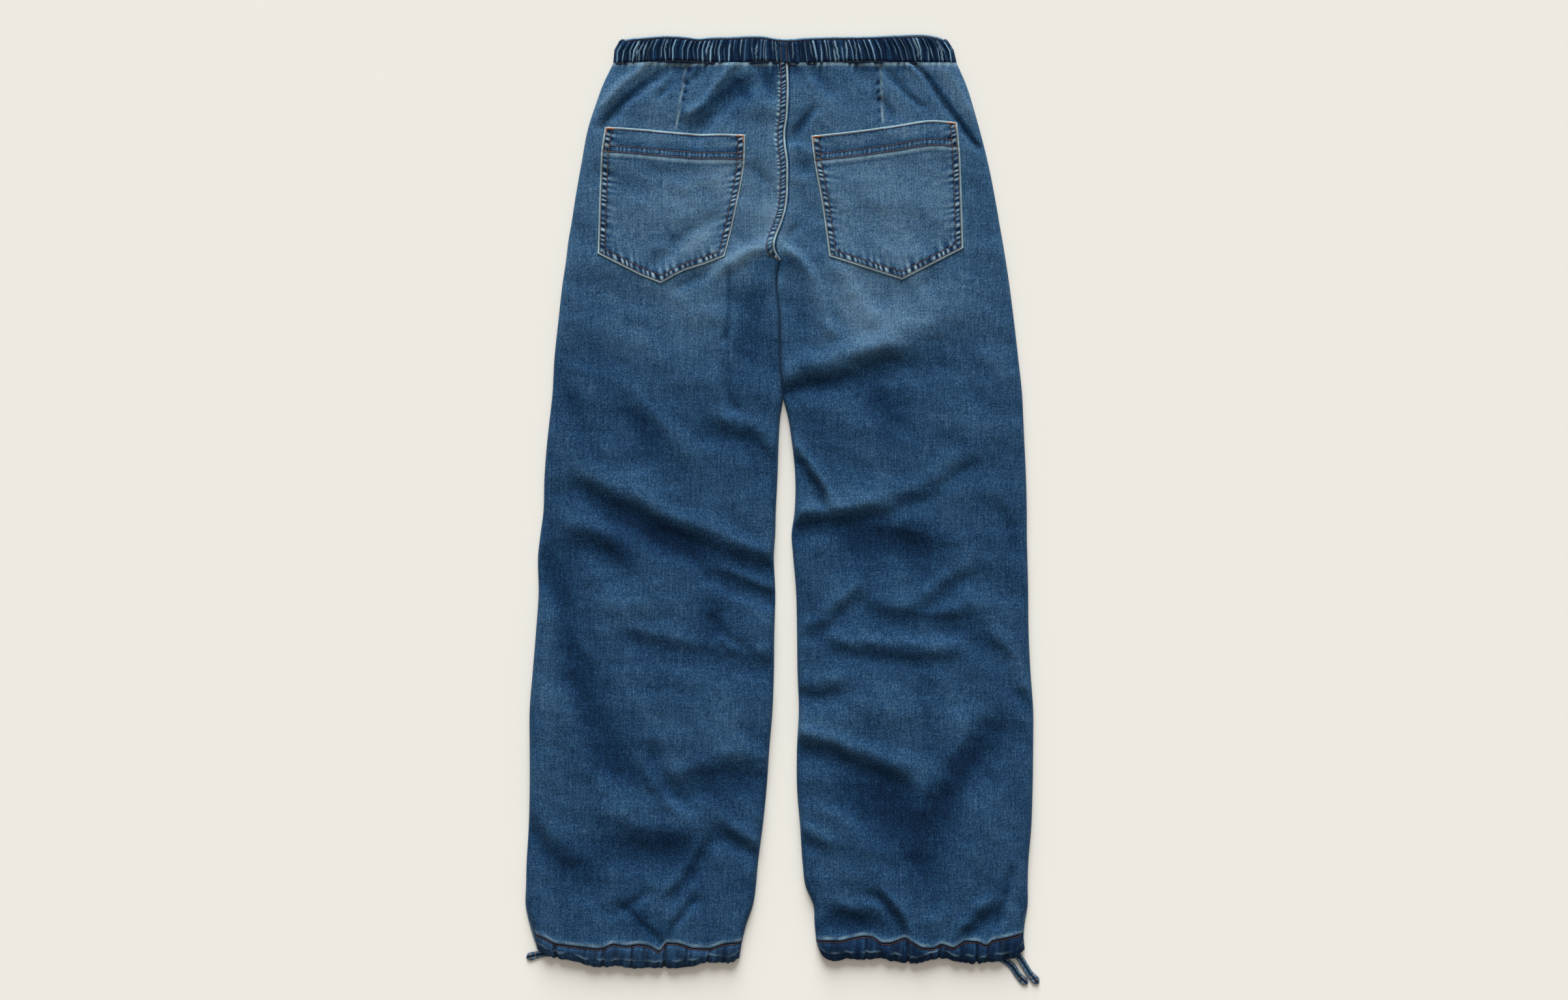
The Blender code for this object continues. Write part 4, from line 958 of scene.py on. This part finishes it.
def pocketSurface(leg, u, v):
    x, y, fromLeft, fromRight, fromLow, fromTop = pocketPlan(leg, u, v)
    look = pocketLook
    edge = np.minimum(np.minimum(fromLeft, fromRight), np.minimum(fromLow, fromTop))
    sewn = np.minimum(np.minimum(fromLeft, fromRight), fromLow)      # not the open top
    alongSeam = np.where(fromLow < np.minimum(fromLeft, fromRight), x, y)
    seed = 1.0 if leg == "left" else 4.0
    taut = 0.82 + 0.3 * uneven(alongSeam, 43.0, seed)
    rope = uneven(alongSeam + 0.35 * sewn, look["ropePitch"], seed) * taut
    pucker = uneven(alongSeam + 0.2 * sewn, look["puckerPitch"], seed + 2.0) * taut
    between = within(sewn, look["outerRow"], look["innerRow"], 1.6)
    past = np.maximum(sewn - look["innerRow"], 0.0)
    inside = smoothstep(past) * np.exp(-past / 5.0)
    upper, lower = look["hemRows"]
    hemRope = uneven(x, look["hemRopePitch"], seed + 5.0)
    inHem = within(fromTop, upper, lower)
    toRows = [sewn - look["outerRow"], sewn - look["innerRow"],
              fromTop - look["topRow"], fromTop - upper, fromTop - lower]

    top = panelTop(leg, x, y)
    z = top + cut["seamGap"] + cut["pocketCloth"]
    z = z - (cut["pocketCloth"] - 0.2) * (1.0 - roll(edge, look["edgeRoll"]))
    z = z + look["hemStep"] * smoothstep(lower + 1.2 - fromTop) + softLine(fromTop, *look["hemLip"])
    z = z + look["rope"] * rope * between + look["puckers"] * pucker * inside
    z = z + look["hemRope"] * hemRope * inHem - look["bed"] * rowLines(toRows, thread["bedWidth"])

    toneAndShade = panelToneAndShade(x, y, top) + look["paler"][leg] - threadShadow(toRows)
    toneAndShade = toneAndShade + between * (look["ropeWash"] * rope - 0.28)
    toneAndShade = toneAndShade + inside * (look["puckerWash"] * pucker - 0.12)
    toneAndShade = toneAndShade + inHem * (look["hemRopeWash"] * hemRope - 0.14)
    toneAndShade = toneAndShade - 0.12 * smoothstep((upper - fromTop) / 3.0)
    toneAndShade = toneAndShade + sum(softLine(fromTop, *shade) for shade in look["shades"])
    # small ripples across the top band, painted as light and shade in the tone only
    rippleShading = uneven(fromTop + 0.08 * x, look["ripplePitch"], seed) * softLine(fromTop, *look["rippleShade"])
    toneAndShade = toneAndShade + rippleShading * (0.5 + 0.5 * uneven(x, 60.0, seed + 1.0))
    toneAndShade = toneAndShade - softLine(edge, *look["foldDark"]) * (sewn < fromTop)
    # a painted contact shadow along the pocket's outer edge
    toneAndShade = toneAndShade - look["edgeShadow"] * (1.0 - smoothstep(edge / 0.9))

    wear = look["edgeWear"] * (1.0 - smoothstep((edge - 1.6) / 0.9)) * smoothstep((edge + 0.3) / 0.9)
    for part, ridge, start, strength in (
            (between, rope, 0.05, "ropeWear"), (inside, pucker, 0.2, "puckerWear"),
            (inHem, hemRope, 0.3, "hemRopeWear")):
        wear = wear + look[strength] * part * np.clip(ridge - start, 0.0, 1.0)
    wear = wear + softLine(fromTop, *look["lipWear"]) * (0.7 + 0.3 * uneven(x, 13.0, seed))
    return x, y, z, toneAndShade, wear


def pocketRows(leg):
    # the stitch rows of a pocket, each a list of (u, v)
    look = pocketLook
    rows = []
    none = np.zeros(140)
    for inset in (look["outerRow"], look["innerRow"]):
        v = np.linspace(1.0, 0.0, 140)
        u = np.linspace(0.0, 1.0, 140)
        side = inset / pocketPlan(leg, none, v)[3]
        foot = inset / (look["lowShare"] * pocketPlan(leg, u, none)[5])
        keepV = (v > inset / 140.0 + 0.01) & (v < 1.0 - 0.012)
        keepU = (u > inset / 150.0) & (u < 1.0 - inset / 150.0)
        rows.append((np.concatenate([side[keepV], u[keepU], (1.0 - side[keepV])[::-1]]),
                     np.concatenate([v[keepV], foot[keepU], v[keepV][::-1]])))
    u = np.linspace(0.015, 0.985, 140)
    deep = pocketPlan(leg, u, none)[5]
    for depth in (look["topRow"], *look["hemRows"]):
        rows.append((u, 1.0 - depth / deep))
    return rows


def buildPockets():
    for leg in ("left", "right"):
        columns, rows = (int(size / pocketLook["pitch"]) for size in pocketLook["size"])
        surface = partial(pocketSurface, leg)
        pocket = clothSheet("backPocket_" + leg, columns, rows, surface, cut["pocketCloth"])
        finishPiece(pocket, cloths["pocket"], ["pocket_" + leg])
        stitches = []
        for u, v in pocketRows(leg):
            stitches += stitchesOn(surface, u, v)
        sew("pocketStitches_" + leg, stitches, "copper")
        bars = []       # across the top corners, and a short one down each side
        for start, side in ((0.012, 0.016), (0.932, 0.984)):
            for u, v, along, length in (
                    (np.linspace(start, start + 0.056, 16), np.full(16, 0.987), (0.2, 0.98, 0.0), 2.0),
                    (np.full(7, side), np.linspace(0.975, 0.94, 7), (0.98, 0.2, 0.0), 1.8)):
                x, y, z = surface(u, v)[:3]
                for middle in np.stack([x, y, z + 0.15], axis=1):
                    bars.append((middle, np.array(along), (length, 0.62)))
        sew("pocketBars_" + leg, bars, "orange")


buildPockets()


# The elastic waistband, gathered into pleats between two stitch rows. Its ends are given by a share
# of its height and the places of the left and the right one.
band = {
    "ends": [(0.0, -183, 196), (0.5, -181.8, 192.6), (0.85, -176, 186), (1.0, -168, 180)],
    "top": [(-175, 513), (-151, 515.2), (-126, 517), (-103, 515.9), (-88, 514.2), (-79, 515.2),
            (-58, 515.7), (-15, 516.2), (-2, 513.9), (11, 513.4), (28, 514.8), (46, 515.5),
            (98, 516.2), (132, 517.7), (167, 517.5), (184, 513.5)],
    "seam": [(-183, 485.5), (-150, 487), (-118, 488.5), (-98, 488), (-62, 486), (-40, 486.5),
             (-10, 488), (8, 485), (53, 487), (100, 488), (130, 487), (196, 486)],
    "columns": 780, "rows": 34,
    "pleats": 72, "pleat": 1.8, "valley": 1.6, "valleyWidth": 1.15,
    "fullness": 8.2, "header": 2.6, "ticks": 3.1, "topRow": 3.1, "seamRow": 1.5,
    "rowDepth": 0.8, "rowShade": 0.2, "sides": (-181.5, 191.5),
    "toneAndShade": 0.11, "ridgeWash": 0.36, "valleyShade": 0.34, "ridgeWear": 0.95,
    "headerWash": 0.42, "tickShade": 0.36, "headerWear": 0.4,
    "flatMiddle": (4.5, 5.5, 1.0), "middleWash": 0.08,       # where the seat seam runs through
    "seed": 5,
}
# Each pleat of the waistband has its own width, height, lean, bow, ends, tone, and where its crest
# lies, how thick that is and how much it tapers, all drawn between two values.
bandPleat = namedtuple("bandPleat", "width height lean bow start end tone crest thick taper")
pleatRanges = bandPleat(
    width=(0.4, 1.75), height=(0.3, 1.1), lean=(-4.0, 4.0), bow=(-2.5, 2.5), start=(-0.5, 0.4),
    end=(0.6, 1.5), tone=(-0.1, 0.1), crest=(0.25, 0.65), thick=(0.5, 0.95), taper=(-0.6, 0.6))


def bandPleats():
    chance = np.random.default_rng(band["seed"])
    return bandPleat(*(chance.uniform(low, high, band["pleats"]) for low, high in pleatRanges))


def bandSides(v):
    shares, lefts, rights = np.array(band["ends"], float).T
    return np.interp(v, shares, lefts), np.interp(v, shares, rights)


def bandSurface(u, v):
    left, right = bandSides(v)
    x = left + u * (right - left)
    topX, topY = np.array(band["top"], float).T
    seamX, seamY = np.array(band["seam"], float).T
    top, bottom = through(topX, topY, x), through(seamX, seamY, x) - 1.2
    y = bottom + v * (top - bottom)
    fromTop, fromSeam = (1.0 - v) * (top - bottom), v * (top - bottom)

    rows = bandPleats()
    edges = np.concatenate([[0.0], np.cumsum(rows.width) / rows.width.sum()])
    middles = (edges[1:] + edges[:-1]) / 2.0
    moved = (v - 0.5) * np.interp(u, middles, rows.lean)
    moved = moved + 2 * v * (1 - v) * np.interp(u, middles, rows.bow)
    order = np.interp(u - moved / 379.0, edges, np.arange(band["pleats"] + 1.0))
    number = np.clip(order.astype(int), 0, band["pleats"] - 1)
    t = order - number
    wide = (edges[number + 1] - edges[number]) * (right - left)
    reach = smoothstep((v - rows.start[number]) / 0.2) * smoothstep((rows.end[number] - v) / 0.2)
    strength = rows.height[number] * (0.35 + 0.65 * reach)
    body = smoothstep((fromSeam - 0.6) / 2.2) * smoothstep((fromTop - band["header"] - 0.6) / 2.2)
    thick = rows.thick[number] * (1.0 + rows.taper[number] * (2.0 * v - 1.0))
    ridge = np.minimum(bell((t - rows.crest[number]) * wide, thick) * strength, 1.0)
    valley = bell(np.minimum(t, 1.0 - t) * wide, band["valleyWidth"])
    middle = softLine(x, *band["flatMiddle"])
    ridge, valley = ridge * (1.0 - middle), valley * (1.0 - middle)

    side = np.minimum(u, 1.0 - u) * (right - left)
    plain = band["fullness"] - 1.3 * (1.0 - smoothstep(fromSeam / 5.0))
    plain = plain - 0.9 * (1.0 - smoothstep((fromTop - band["header"]) / 4.0))
    plain = plain + body * (band["pleat"] * ridge - band["valley"] * valley)
    header = smoothstep((band["header"] - fromTop) / 0.7)
    ticks = np.clip(uneven(x, band["ticks"], 2.0), 0.0, 1.0) ** 3 * (uneven(x, 60.0, 1.0) > -0.2)
    plain = plain + header * (0.9 * np.sin(np.pi * np.clip(fromTop / band["header"], 0.0, 1.0)) - 0.6)
    toRows = [fromTop - band["topRow"], fromSeam - band["seamRow"]]
    plain = plain - header * 0.4 * ticks - band["rowDepth"] * rowLines(toRows, 1.0)
    z = cut["jointHeight"] + (plain - cut["jointHeight"]) * roll(side, cut["outerRoll"])
    z = cut["jointHeight"] + (z - cut["jointHeight"]) * (0.25 + 0.75 * roll(fromTop, 2.0))

    toneAndShade = band["toneAndShade"] + rows.tone[number] + 0.06 * wrinkleHeight(3 * x, 3 * y)
    # the valleys between the pleats get painted shade
    toneAndShade = toneAndShade + body * (band["ridgeWash"] * ridge - band["valleyShade"] * valley)
    # the small dips in the header are painted dark with shade
    toneAndShade = toneAndShade * (1.0 - header) + header * (band["headerWash"] - band["tickShade"] * ticks)
    toneAndShade = toneAndShade + band["middleWash"] * middle - band["rowShade"] * rowLines(toRows, 1.1)
    wear = body * band["ridgeWear"] * np.clip(ridge * 1.3 - 0.25, 0.0, 1.0)
    wear = wear + header * (band["headerWear"] - 0.45 * ticks)
    return x, y, z, toneAndShade, np.clip(wear, 0.0, 1.0), top, bottom


def buildWaistband():
    piece = clothSheet("waistband", band["columns"], band["rows"],
                       lambda u, v: bandSurface(u, v)[:5], cut["casing"])
    finishPiece(piece, cloths["band"], ["waistband_back"])
    stitches = []
    u = np.linspace(0.012, 0.988, 500)
    top, bottom = bandSurface(u, np.full(500, 0.5))[5:]
    for v in (1.0 - band["topRow"] / (top - bottom), band["seamRow"] / (top - bottom)):
        stitches += stitchesOn(bandSurface, u, v)
    sew("waistbandRows", stitches, "dark")
    stitches = []
    left, right = band["sides"]
    for across in seatSeam["atWaist"]:
        u = np.full(40, (across - left) / (right - left))
        stitches += stitchesOn(bandSurface, u, np.linspace(0.03, 0.87, 40))
    sew("waistbandStitches", stitches, "copper")


buildWaistband()


# The gathered hem casings.
pleat = namedtuple("pleat", "x width depth lean")
hemPleats = named(pleat, {
    "left": [
        (-126.5, 1.8, 3.0, 1.5), (-194, 2.6, 1.8, 2.5), (-163, 1.2, 1.6, 0.5), (-148, 2.6, 1.0, 0.0),
        (-77.5, 1.8, 2.2, 4.8), (-248, 2.0, 1.8, -2.0), (-218, 4.0, 0.8, 3.0), (-104, 4.0, 0.9, 2.0),
        (-64, 4.0, 0.6, 0.0),
    ],
    "right": [
        (96.5, 1.3, 1.6, 0.0), (111.5, 2.8, 1.4, -2.0), (127.5, 1.6, 1.4, 1.0), (142.5, 1.6, 3.0, -1.0),
        (177.5, 1.8, 1.9, 0.0), (187, 4.0, 1.1, 2.0), (203, 2.4, 1.2, -2.0), (219, 1.4, 2.6, 0.0),
        (231.5, 2.2, 1.5, 3.0), (58.5, 2.4, 1.0, 3.0), (76, 3.0, 0.7, 0.0), (250, 4.0, 0.7, -2.0),
    ],
})
hemLook = {
    "columns": 260, "rows": 26, "fullness": 2.2, "gather": 0.4, "gatherPitch": 17.0,
    "pinch": 0.3, "pinchPitch": 7.5, "notch": 2.2, "scallop": 2.1, "scallopPitch": 18.0,
    "edgeHeight": 5.2, "edgePitch": 6.5, "edgeWash": (3.0, 3.0, 0.16),
    "stitchRows": (0.7, 2.9), "bed": 0.25,
    "rowsGroove": (0.0, 0.6, 0.5), "rowsShade": (0.0, 1.9, 0.24),        # from halfway between them
    "paleLine": 8.5, "paleRidge": (0.0, 1.4, 0.5), "paleGroove": (-2.6, 1.4, 0.5),
    "paleWash": (0.0, 1.8, 0.12), "paleWear": (0.0, 0.9, 0.34),
    "gatherShading": 0.06, "pinchShading": 0.07, "grooveShade": 0.19,
    "toneAndShade": {"left": 0.2, "right": 0.02}, "worn": {"left": 0.022, "right": 0.004},
}


def hemSurface(leg, u, v):
    look = hemLook
    line, edge = np.array(hemLine[leg], float), np.array(hemEdge[leg], float)
    topX = line[0, 0] + u * (line[-1, 0] - line[0, 0])
    lowX = edge[0, 0] + u * (edge[-1, 0] - edge[0, 0])
    x = lowX + v * (topX - lowX)
    topY, lowY = hemAt(leg, topX), through(*edge.T, lowX)
    seed = 2.0 if leg == "left" else 5.0
    gather = uneven(x + 4.0 * v, look["gatherPitch"], seed)
    groove = np.zeros(x.shape)
    for row in hemPleats[leg]:
        groove += row.depth * bell(x - row.x - row.lean * (v - 0.5), row.width)
    scallops = np.abs(uneven(lowX, look["scallopPitch"], seed + 1.0))
    scallops = scallops * (0.6 + 0.4 * uneven(lowX, 47.0, seed))
    lowY = lowY - look["scallop"] * scallops + look["notch"] * np.clip(groove / 2.5, 0, 1)
    y = lowY + v * (topY + 0.8 - lowY)
    fromTop, fromLow = (1.0 - v) * (topY + 0.8 - lowY), v * (topY + 0.8 - lowY)

    side = np.minimum(u, 1.0 - u) * abs(edge[-1, 0] - edge[0, 0])
    panel = panelTop(leg, topX, topY)
    body = smoothstep((fromTop - 3.0) / 4.0)
    low = cut["jointHeight"] + look["edgeHeight"] * roll(fromLow, 7.0)
    z = panel * v**1.5 + low * (1.0 - v**1.5)
    z = z + look["fullness"] * body * np.sin(np.pi * np.clip(v, 0.0, 1.0)) ** 0.8
    pinch = uneven(x - 3.0 * v, look["pinchPitch"], seed + 4.0)
    pinch = pinch * (0.55 + 0.45 * uneven(x, 53.0, seed))
    z = z + body * (look["gather"] * gather + look["pinch"] * pinch)
    z = z - groove * (0.35 + 0.65 * body)
    paleLine = fromLow - look["paleLine"] - 1.2 * uneven(x, 38.0, seed)
    broken = np.clip(0.45 + 0.7 * uneven(x, 21.0, seed + 3.0), 0.0, 1.0)
    z = z + broken * softLine(paleLine, *look["paleRidge"]) - softLine(paleLine, *look["paleGroove"])
    fromRows = fromTop - sum(look["stitchRows"]) / 2.0
    z = z - look["bed"] * rowLines([fromTop - row for row in look["stitchRows"]], 0.7)
    z = z - softLine(fromRows, *look["rowsGroove"])
    z = np.maximum(z, cut["jointHeight"] + 0.6)
    z = cut["jointHeight"] + (z - cut["jointHeight"]) * roll(side, cut["outerRoll"])

    # gathers and pinches get painted light on their crests and painted shade in their hollows; pleat
    # grooves get painted shade
    toneAndShade = look["toneAndShade"][leg] + look["gatherShading"] * gather + look["pinchShading"] * pinch
    toneAndShade = toneAndShade - look["grooveShade"] * groove - softLine(fromRows, *look["rowsShade"])
    toneAndShade = toneAndShade + 0.1 * wrinkleHeight(2 * x, 2 * y) + 0.05 * wrinkleHeight(5 * x, 5 * y)
    for row in hemPleats[leg]:      # a fold's upper side is rubbed
        besideFold = x - row.x - row.lean * (v - 0.5) + 1.6 * row.width
        toneAndShade = toneAndShade + 0.1 * min(row.depth, 2.0) * bell(besideFold, 1.2)
    toneAndShade = toneAndShade + uneven(lowX, look["edgePitch"], seed) * softLine(fromLow, *look["edgeWash"])
    toneAndShade = toneAndShade + broken * softLine(paleLine, *look["paleWash"]) - 0.1 * (1.0 - smoothstep(fromLow / 3.0))
    wear = look["worn"][leg] + broken * softLine(paleLine, *look["paleWear"]) + 0.02 * pinch
    return x, y, z, toneAndShade, np.clip(wear, 0.0, 1.0)


def buildHems():
    for leg in ("left", "right"):
        surface = partial(hemSurface, leg)
        piece = clothSheet("hemCasing_" + leg, hemLook["columns"], hemLook["rows"], surface, cut["casing"])
        finishPiece(piece, cloths["casing"], ["hem_%s_back" % leg])
        stitches = []
        u = np.linspace(0.01, 0.99, 400)
        depth = surface(u, np.ones(400))[1] - surface(u, np.zeros(400))[1]
        for row in hemLook["stitchRows"]:
            stitches += stitchesOn(surface, u, 1.0 - row / depth)
        sew("hemStitches_" + leg, stitches, "copper")


buildHems()


# The front pieces, flat on the floor.
front = {"curl": 2.7, "curlWidth": 2.4, "creases": 0.35, "hemEdge": -499.0}
hemFrontSides = {"left": [(-252, -45), (-215, -57)], "right": [(45, 262), (52, 236)]}


def flatPiece(x, y, edge, thickness):
    # a flat piece with soft shallow creases underneath, whose edge curls up
    inside = smoothstep((edge - 5.0) / 20.0)
    z = thickness + front["creases"] * inside * np.clip(wrinkleHeight(x + 400.0, y), 0.0, 1.5)
    z = z + (front["curl"] - thickness) * (1.0 - roll(edge, front["curlWidth"]))
    return z


def frontPlace(leg, u, v):
    y = cut["hemSeam"] + v * (cut["waistSeam"] - cut["hemSeam"])
    left, right = legEdges(leg, y)
    x = left + u * (right - left)
    outer = x - left if leg == "left" else right - x
    inner = right - x if leg == "left" else x - left
    edge = np.minimum(outer, np.where(belowCrotch(y) > 0.5, inner, 1e3))
    z = flatPiece(x, y, edge, cut["denim"])
    toneAndShade = panelToneAndShade(x, y, sectionValue("loft", y)) + 0.03 * wrinkleHeight(x + 400.0, y)
    return x, y, z, toneAndShade, 0.3 * bell(edge, 1.5)


def hemFrontPlace(leg, u, v):
    (topLeft, topRight), (lowLeft, lowRight) = hemFrontSides[leg]
    left, right = lowLeft + v * (topLeft - lowLeft), lowRight + v * (topRight - lowRight)
    x = left + u * (right - left)
    y = front["hemEdge"] + v * (cut["hemSeam"] - cut["seamGap"] - front["hemEdge"])
    edge = np.minimum(x - left, right - x)
    gather = uneven(x, 12.0, 3.0)
    z = flatPiece(x, y, edge, cut["casing"])
    return x, y, z, 0.26 + 0.08 * gather, 0.1 * np.clip(gather, 0.0, 1.0)


def bandFrontPlace(u, v):
    share = 0.9 * v
    left, right = bandSides(share)
    x = left + u * (right - left)
    y = cut["waistSeam"] + cut["seamGap"] + share * (cut["waistTop"] - cut["waistSeam"])
    ridge = np.clip(uneven(x, 7.0, 6.0), 0.0, 1.0)
    z = flatPiece(x, y, np.minimum(x - left, right - x), cut["casing"])
    return x, y, z, 0.18 + 0.2 * ridge, 0.5 * ridge**2


def buildFronts():
    for leg in ("left", "right"):
        piece = clothSheet("frontPanel_" + leg, 60, 160, partial(frontPlace, leg), cut["denim"])
        finishPiece(piece, cloths["front"], ["front_" + leg])
        piece = clothSheet("hemFront_" + leg, 100, 6, partial(hemFrontPlace, leg), cut["casing"])
        finishPiece(piece, cloths["casing"], ["hem_%s_front" % leg])
    piece = clothSheet("waistbandFront", 240, 14, bandFrontPlace, cut["casing"])
    finishPiece(piece, cloths["casing"], ["waistband_front"])


buildFronts()


# The free ends of the hem drawstrings: flat folded tapes.
tape = {
    "width": 7.8, "thick": 2.2, "lift": 0.1, "parts": 6, "round": 5.0, "ropePitch": 5.0,
    "slot": (0.0, 0.9, 0.8), "slotShade": (0.0, 0.9, 0.25),       # between the two folded edges, the slot painted with shade
    "bars": (5.0, 10.5),        # bartacks, from the end
    "toneAndShade": 0.24, "wear": 0.6,
}
ties = {
    "tie_left": {"path": [(-233, -499), (-249, -499.2), (-260, -499.5), (-270, -501.5), (-280, -504)],
                 "turn": -8.0},
    "tie_right_inner": {"path": [(240, -503), (249, -507), (255, -511), (260, -516), (263, -521),
                                 (267, -526), (275.2, -533)], "turn": 10.0},
    "tie_right_outer": {"path": [(255, -499), (265, -503), (272, -513), (277, -521), (283, -528),
                                 (287, -533)], "turn": -8.0},
}


def buildTies():
    for name, look in ties.items():
        route = smoothPath(look["path"], tape["parts"])
        side, run = leftOf(route), runAlong(route)
        around = np.linspace(0.0, 2.0 * np.pi, 32, endpoint=False)
        across = np.sign(np.cos(around)) * np.abs(np.cos(around)) ** 0.7 * tape["width"] / 2.0
        up = np.sign(np.sin(around)) * np.abs(np.sin(around)) ** 0.6 * tape["thick"] / 2.0
        up = up - softLine(across, *tape["slot"]) * (up > 0)
        points, wear, toneAndShade = [], [], []
        for k, at in enumerate(run):
            toEnd = (run[-1] - at) / tape["round"]
            narrow = math.sqrt(max(0.02, 1.0 - max(0.0, 1.0 - toEnd) ** 2))
            narrow *= 0.96 + 0.22 * float(bell(toEnd - 1.0, 1.0))       # widest where it is folded back
            lean = math.radians(look["turn"]) * math.sin(math.pi * at / run[-1])
            wide = across * narrow * math.cos(lean) - up * math.sin(lean)
            high = up * math.cos(lean) + across * narrow * math.sin(lean)
            low = tape["lift"] - min(high)
            points += [(route[k, 0] + side[k, 0] * w, route[k, 1] + side[k, 1] * w, low + h)
                       for w, h in zip(wide, high)]
            rubbed = 0.6 + 0.4 * uneven(at + 2.0 * np.sign(across), tape["ropePitch"], 1.0)
            wear += list(tape["wear"] * rubbed * bell(np.abs(across) - 0.33 * tape["width"], 0.9))
            toneAndShade += list(tape["toneAndShade"] - softLine(across, *tape["slotShade"]) + 0.1 * (rubbed - 0.6))
        count = len(around)
        faces = [tuple(range(count))[::-1], tuple(range(len(points) - count, len(points)))]
        for k in range(len(run) - 1):
            for i in range(count):
                a, b = k * count + i, k * count + (i + 1) % count
                faces.append((a, b, b + count, a + count))
        piece = meshPiece(name + "_tape", points, faces)
        bpy.context.view_layer.objects.active = piece
        piece.select_set(True)
        bpy.ops.object.mode_set(mode="EDIT")
        bpy.ops.mesh.select_all(action="SELECT")
        bpy.ops.mesh.normals_make_consistent(inside=False)
        bpy.ops.object.mode_set(mode="OBJECT")
        piece.select_set(False)
        setTone(piece, "toneAndShade", toneAndShade)
        setTone(piece, "wear", wear)
        finishPiece(piece, cloths["casing"], [name])
        bars = []
        for back in tape["bars"]:
            centre, along = (np.array([np.interp(run[-1] - back, run, line[:, i]) for i in (0, 1)])
                             for line in (route, side))
            for shift in (-1.7, 1.7):
                onTop = np.array([*(centre + along * shift), tape["lift"] + tape["thick"] + 0.1])
                bars.append((onTop, np.array([*along, 0.0]), (2.6, 0.6)))
        sew(name + "_bars", bars, "orange")
    print("ties: %d" % len(ties))


buildTies()
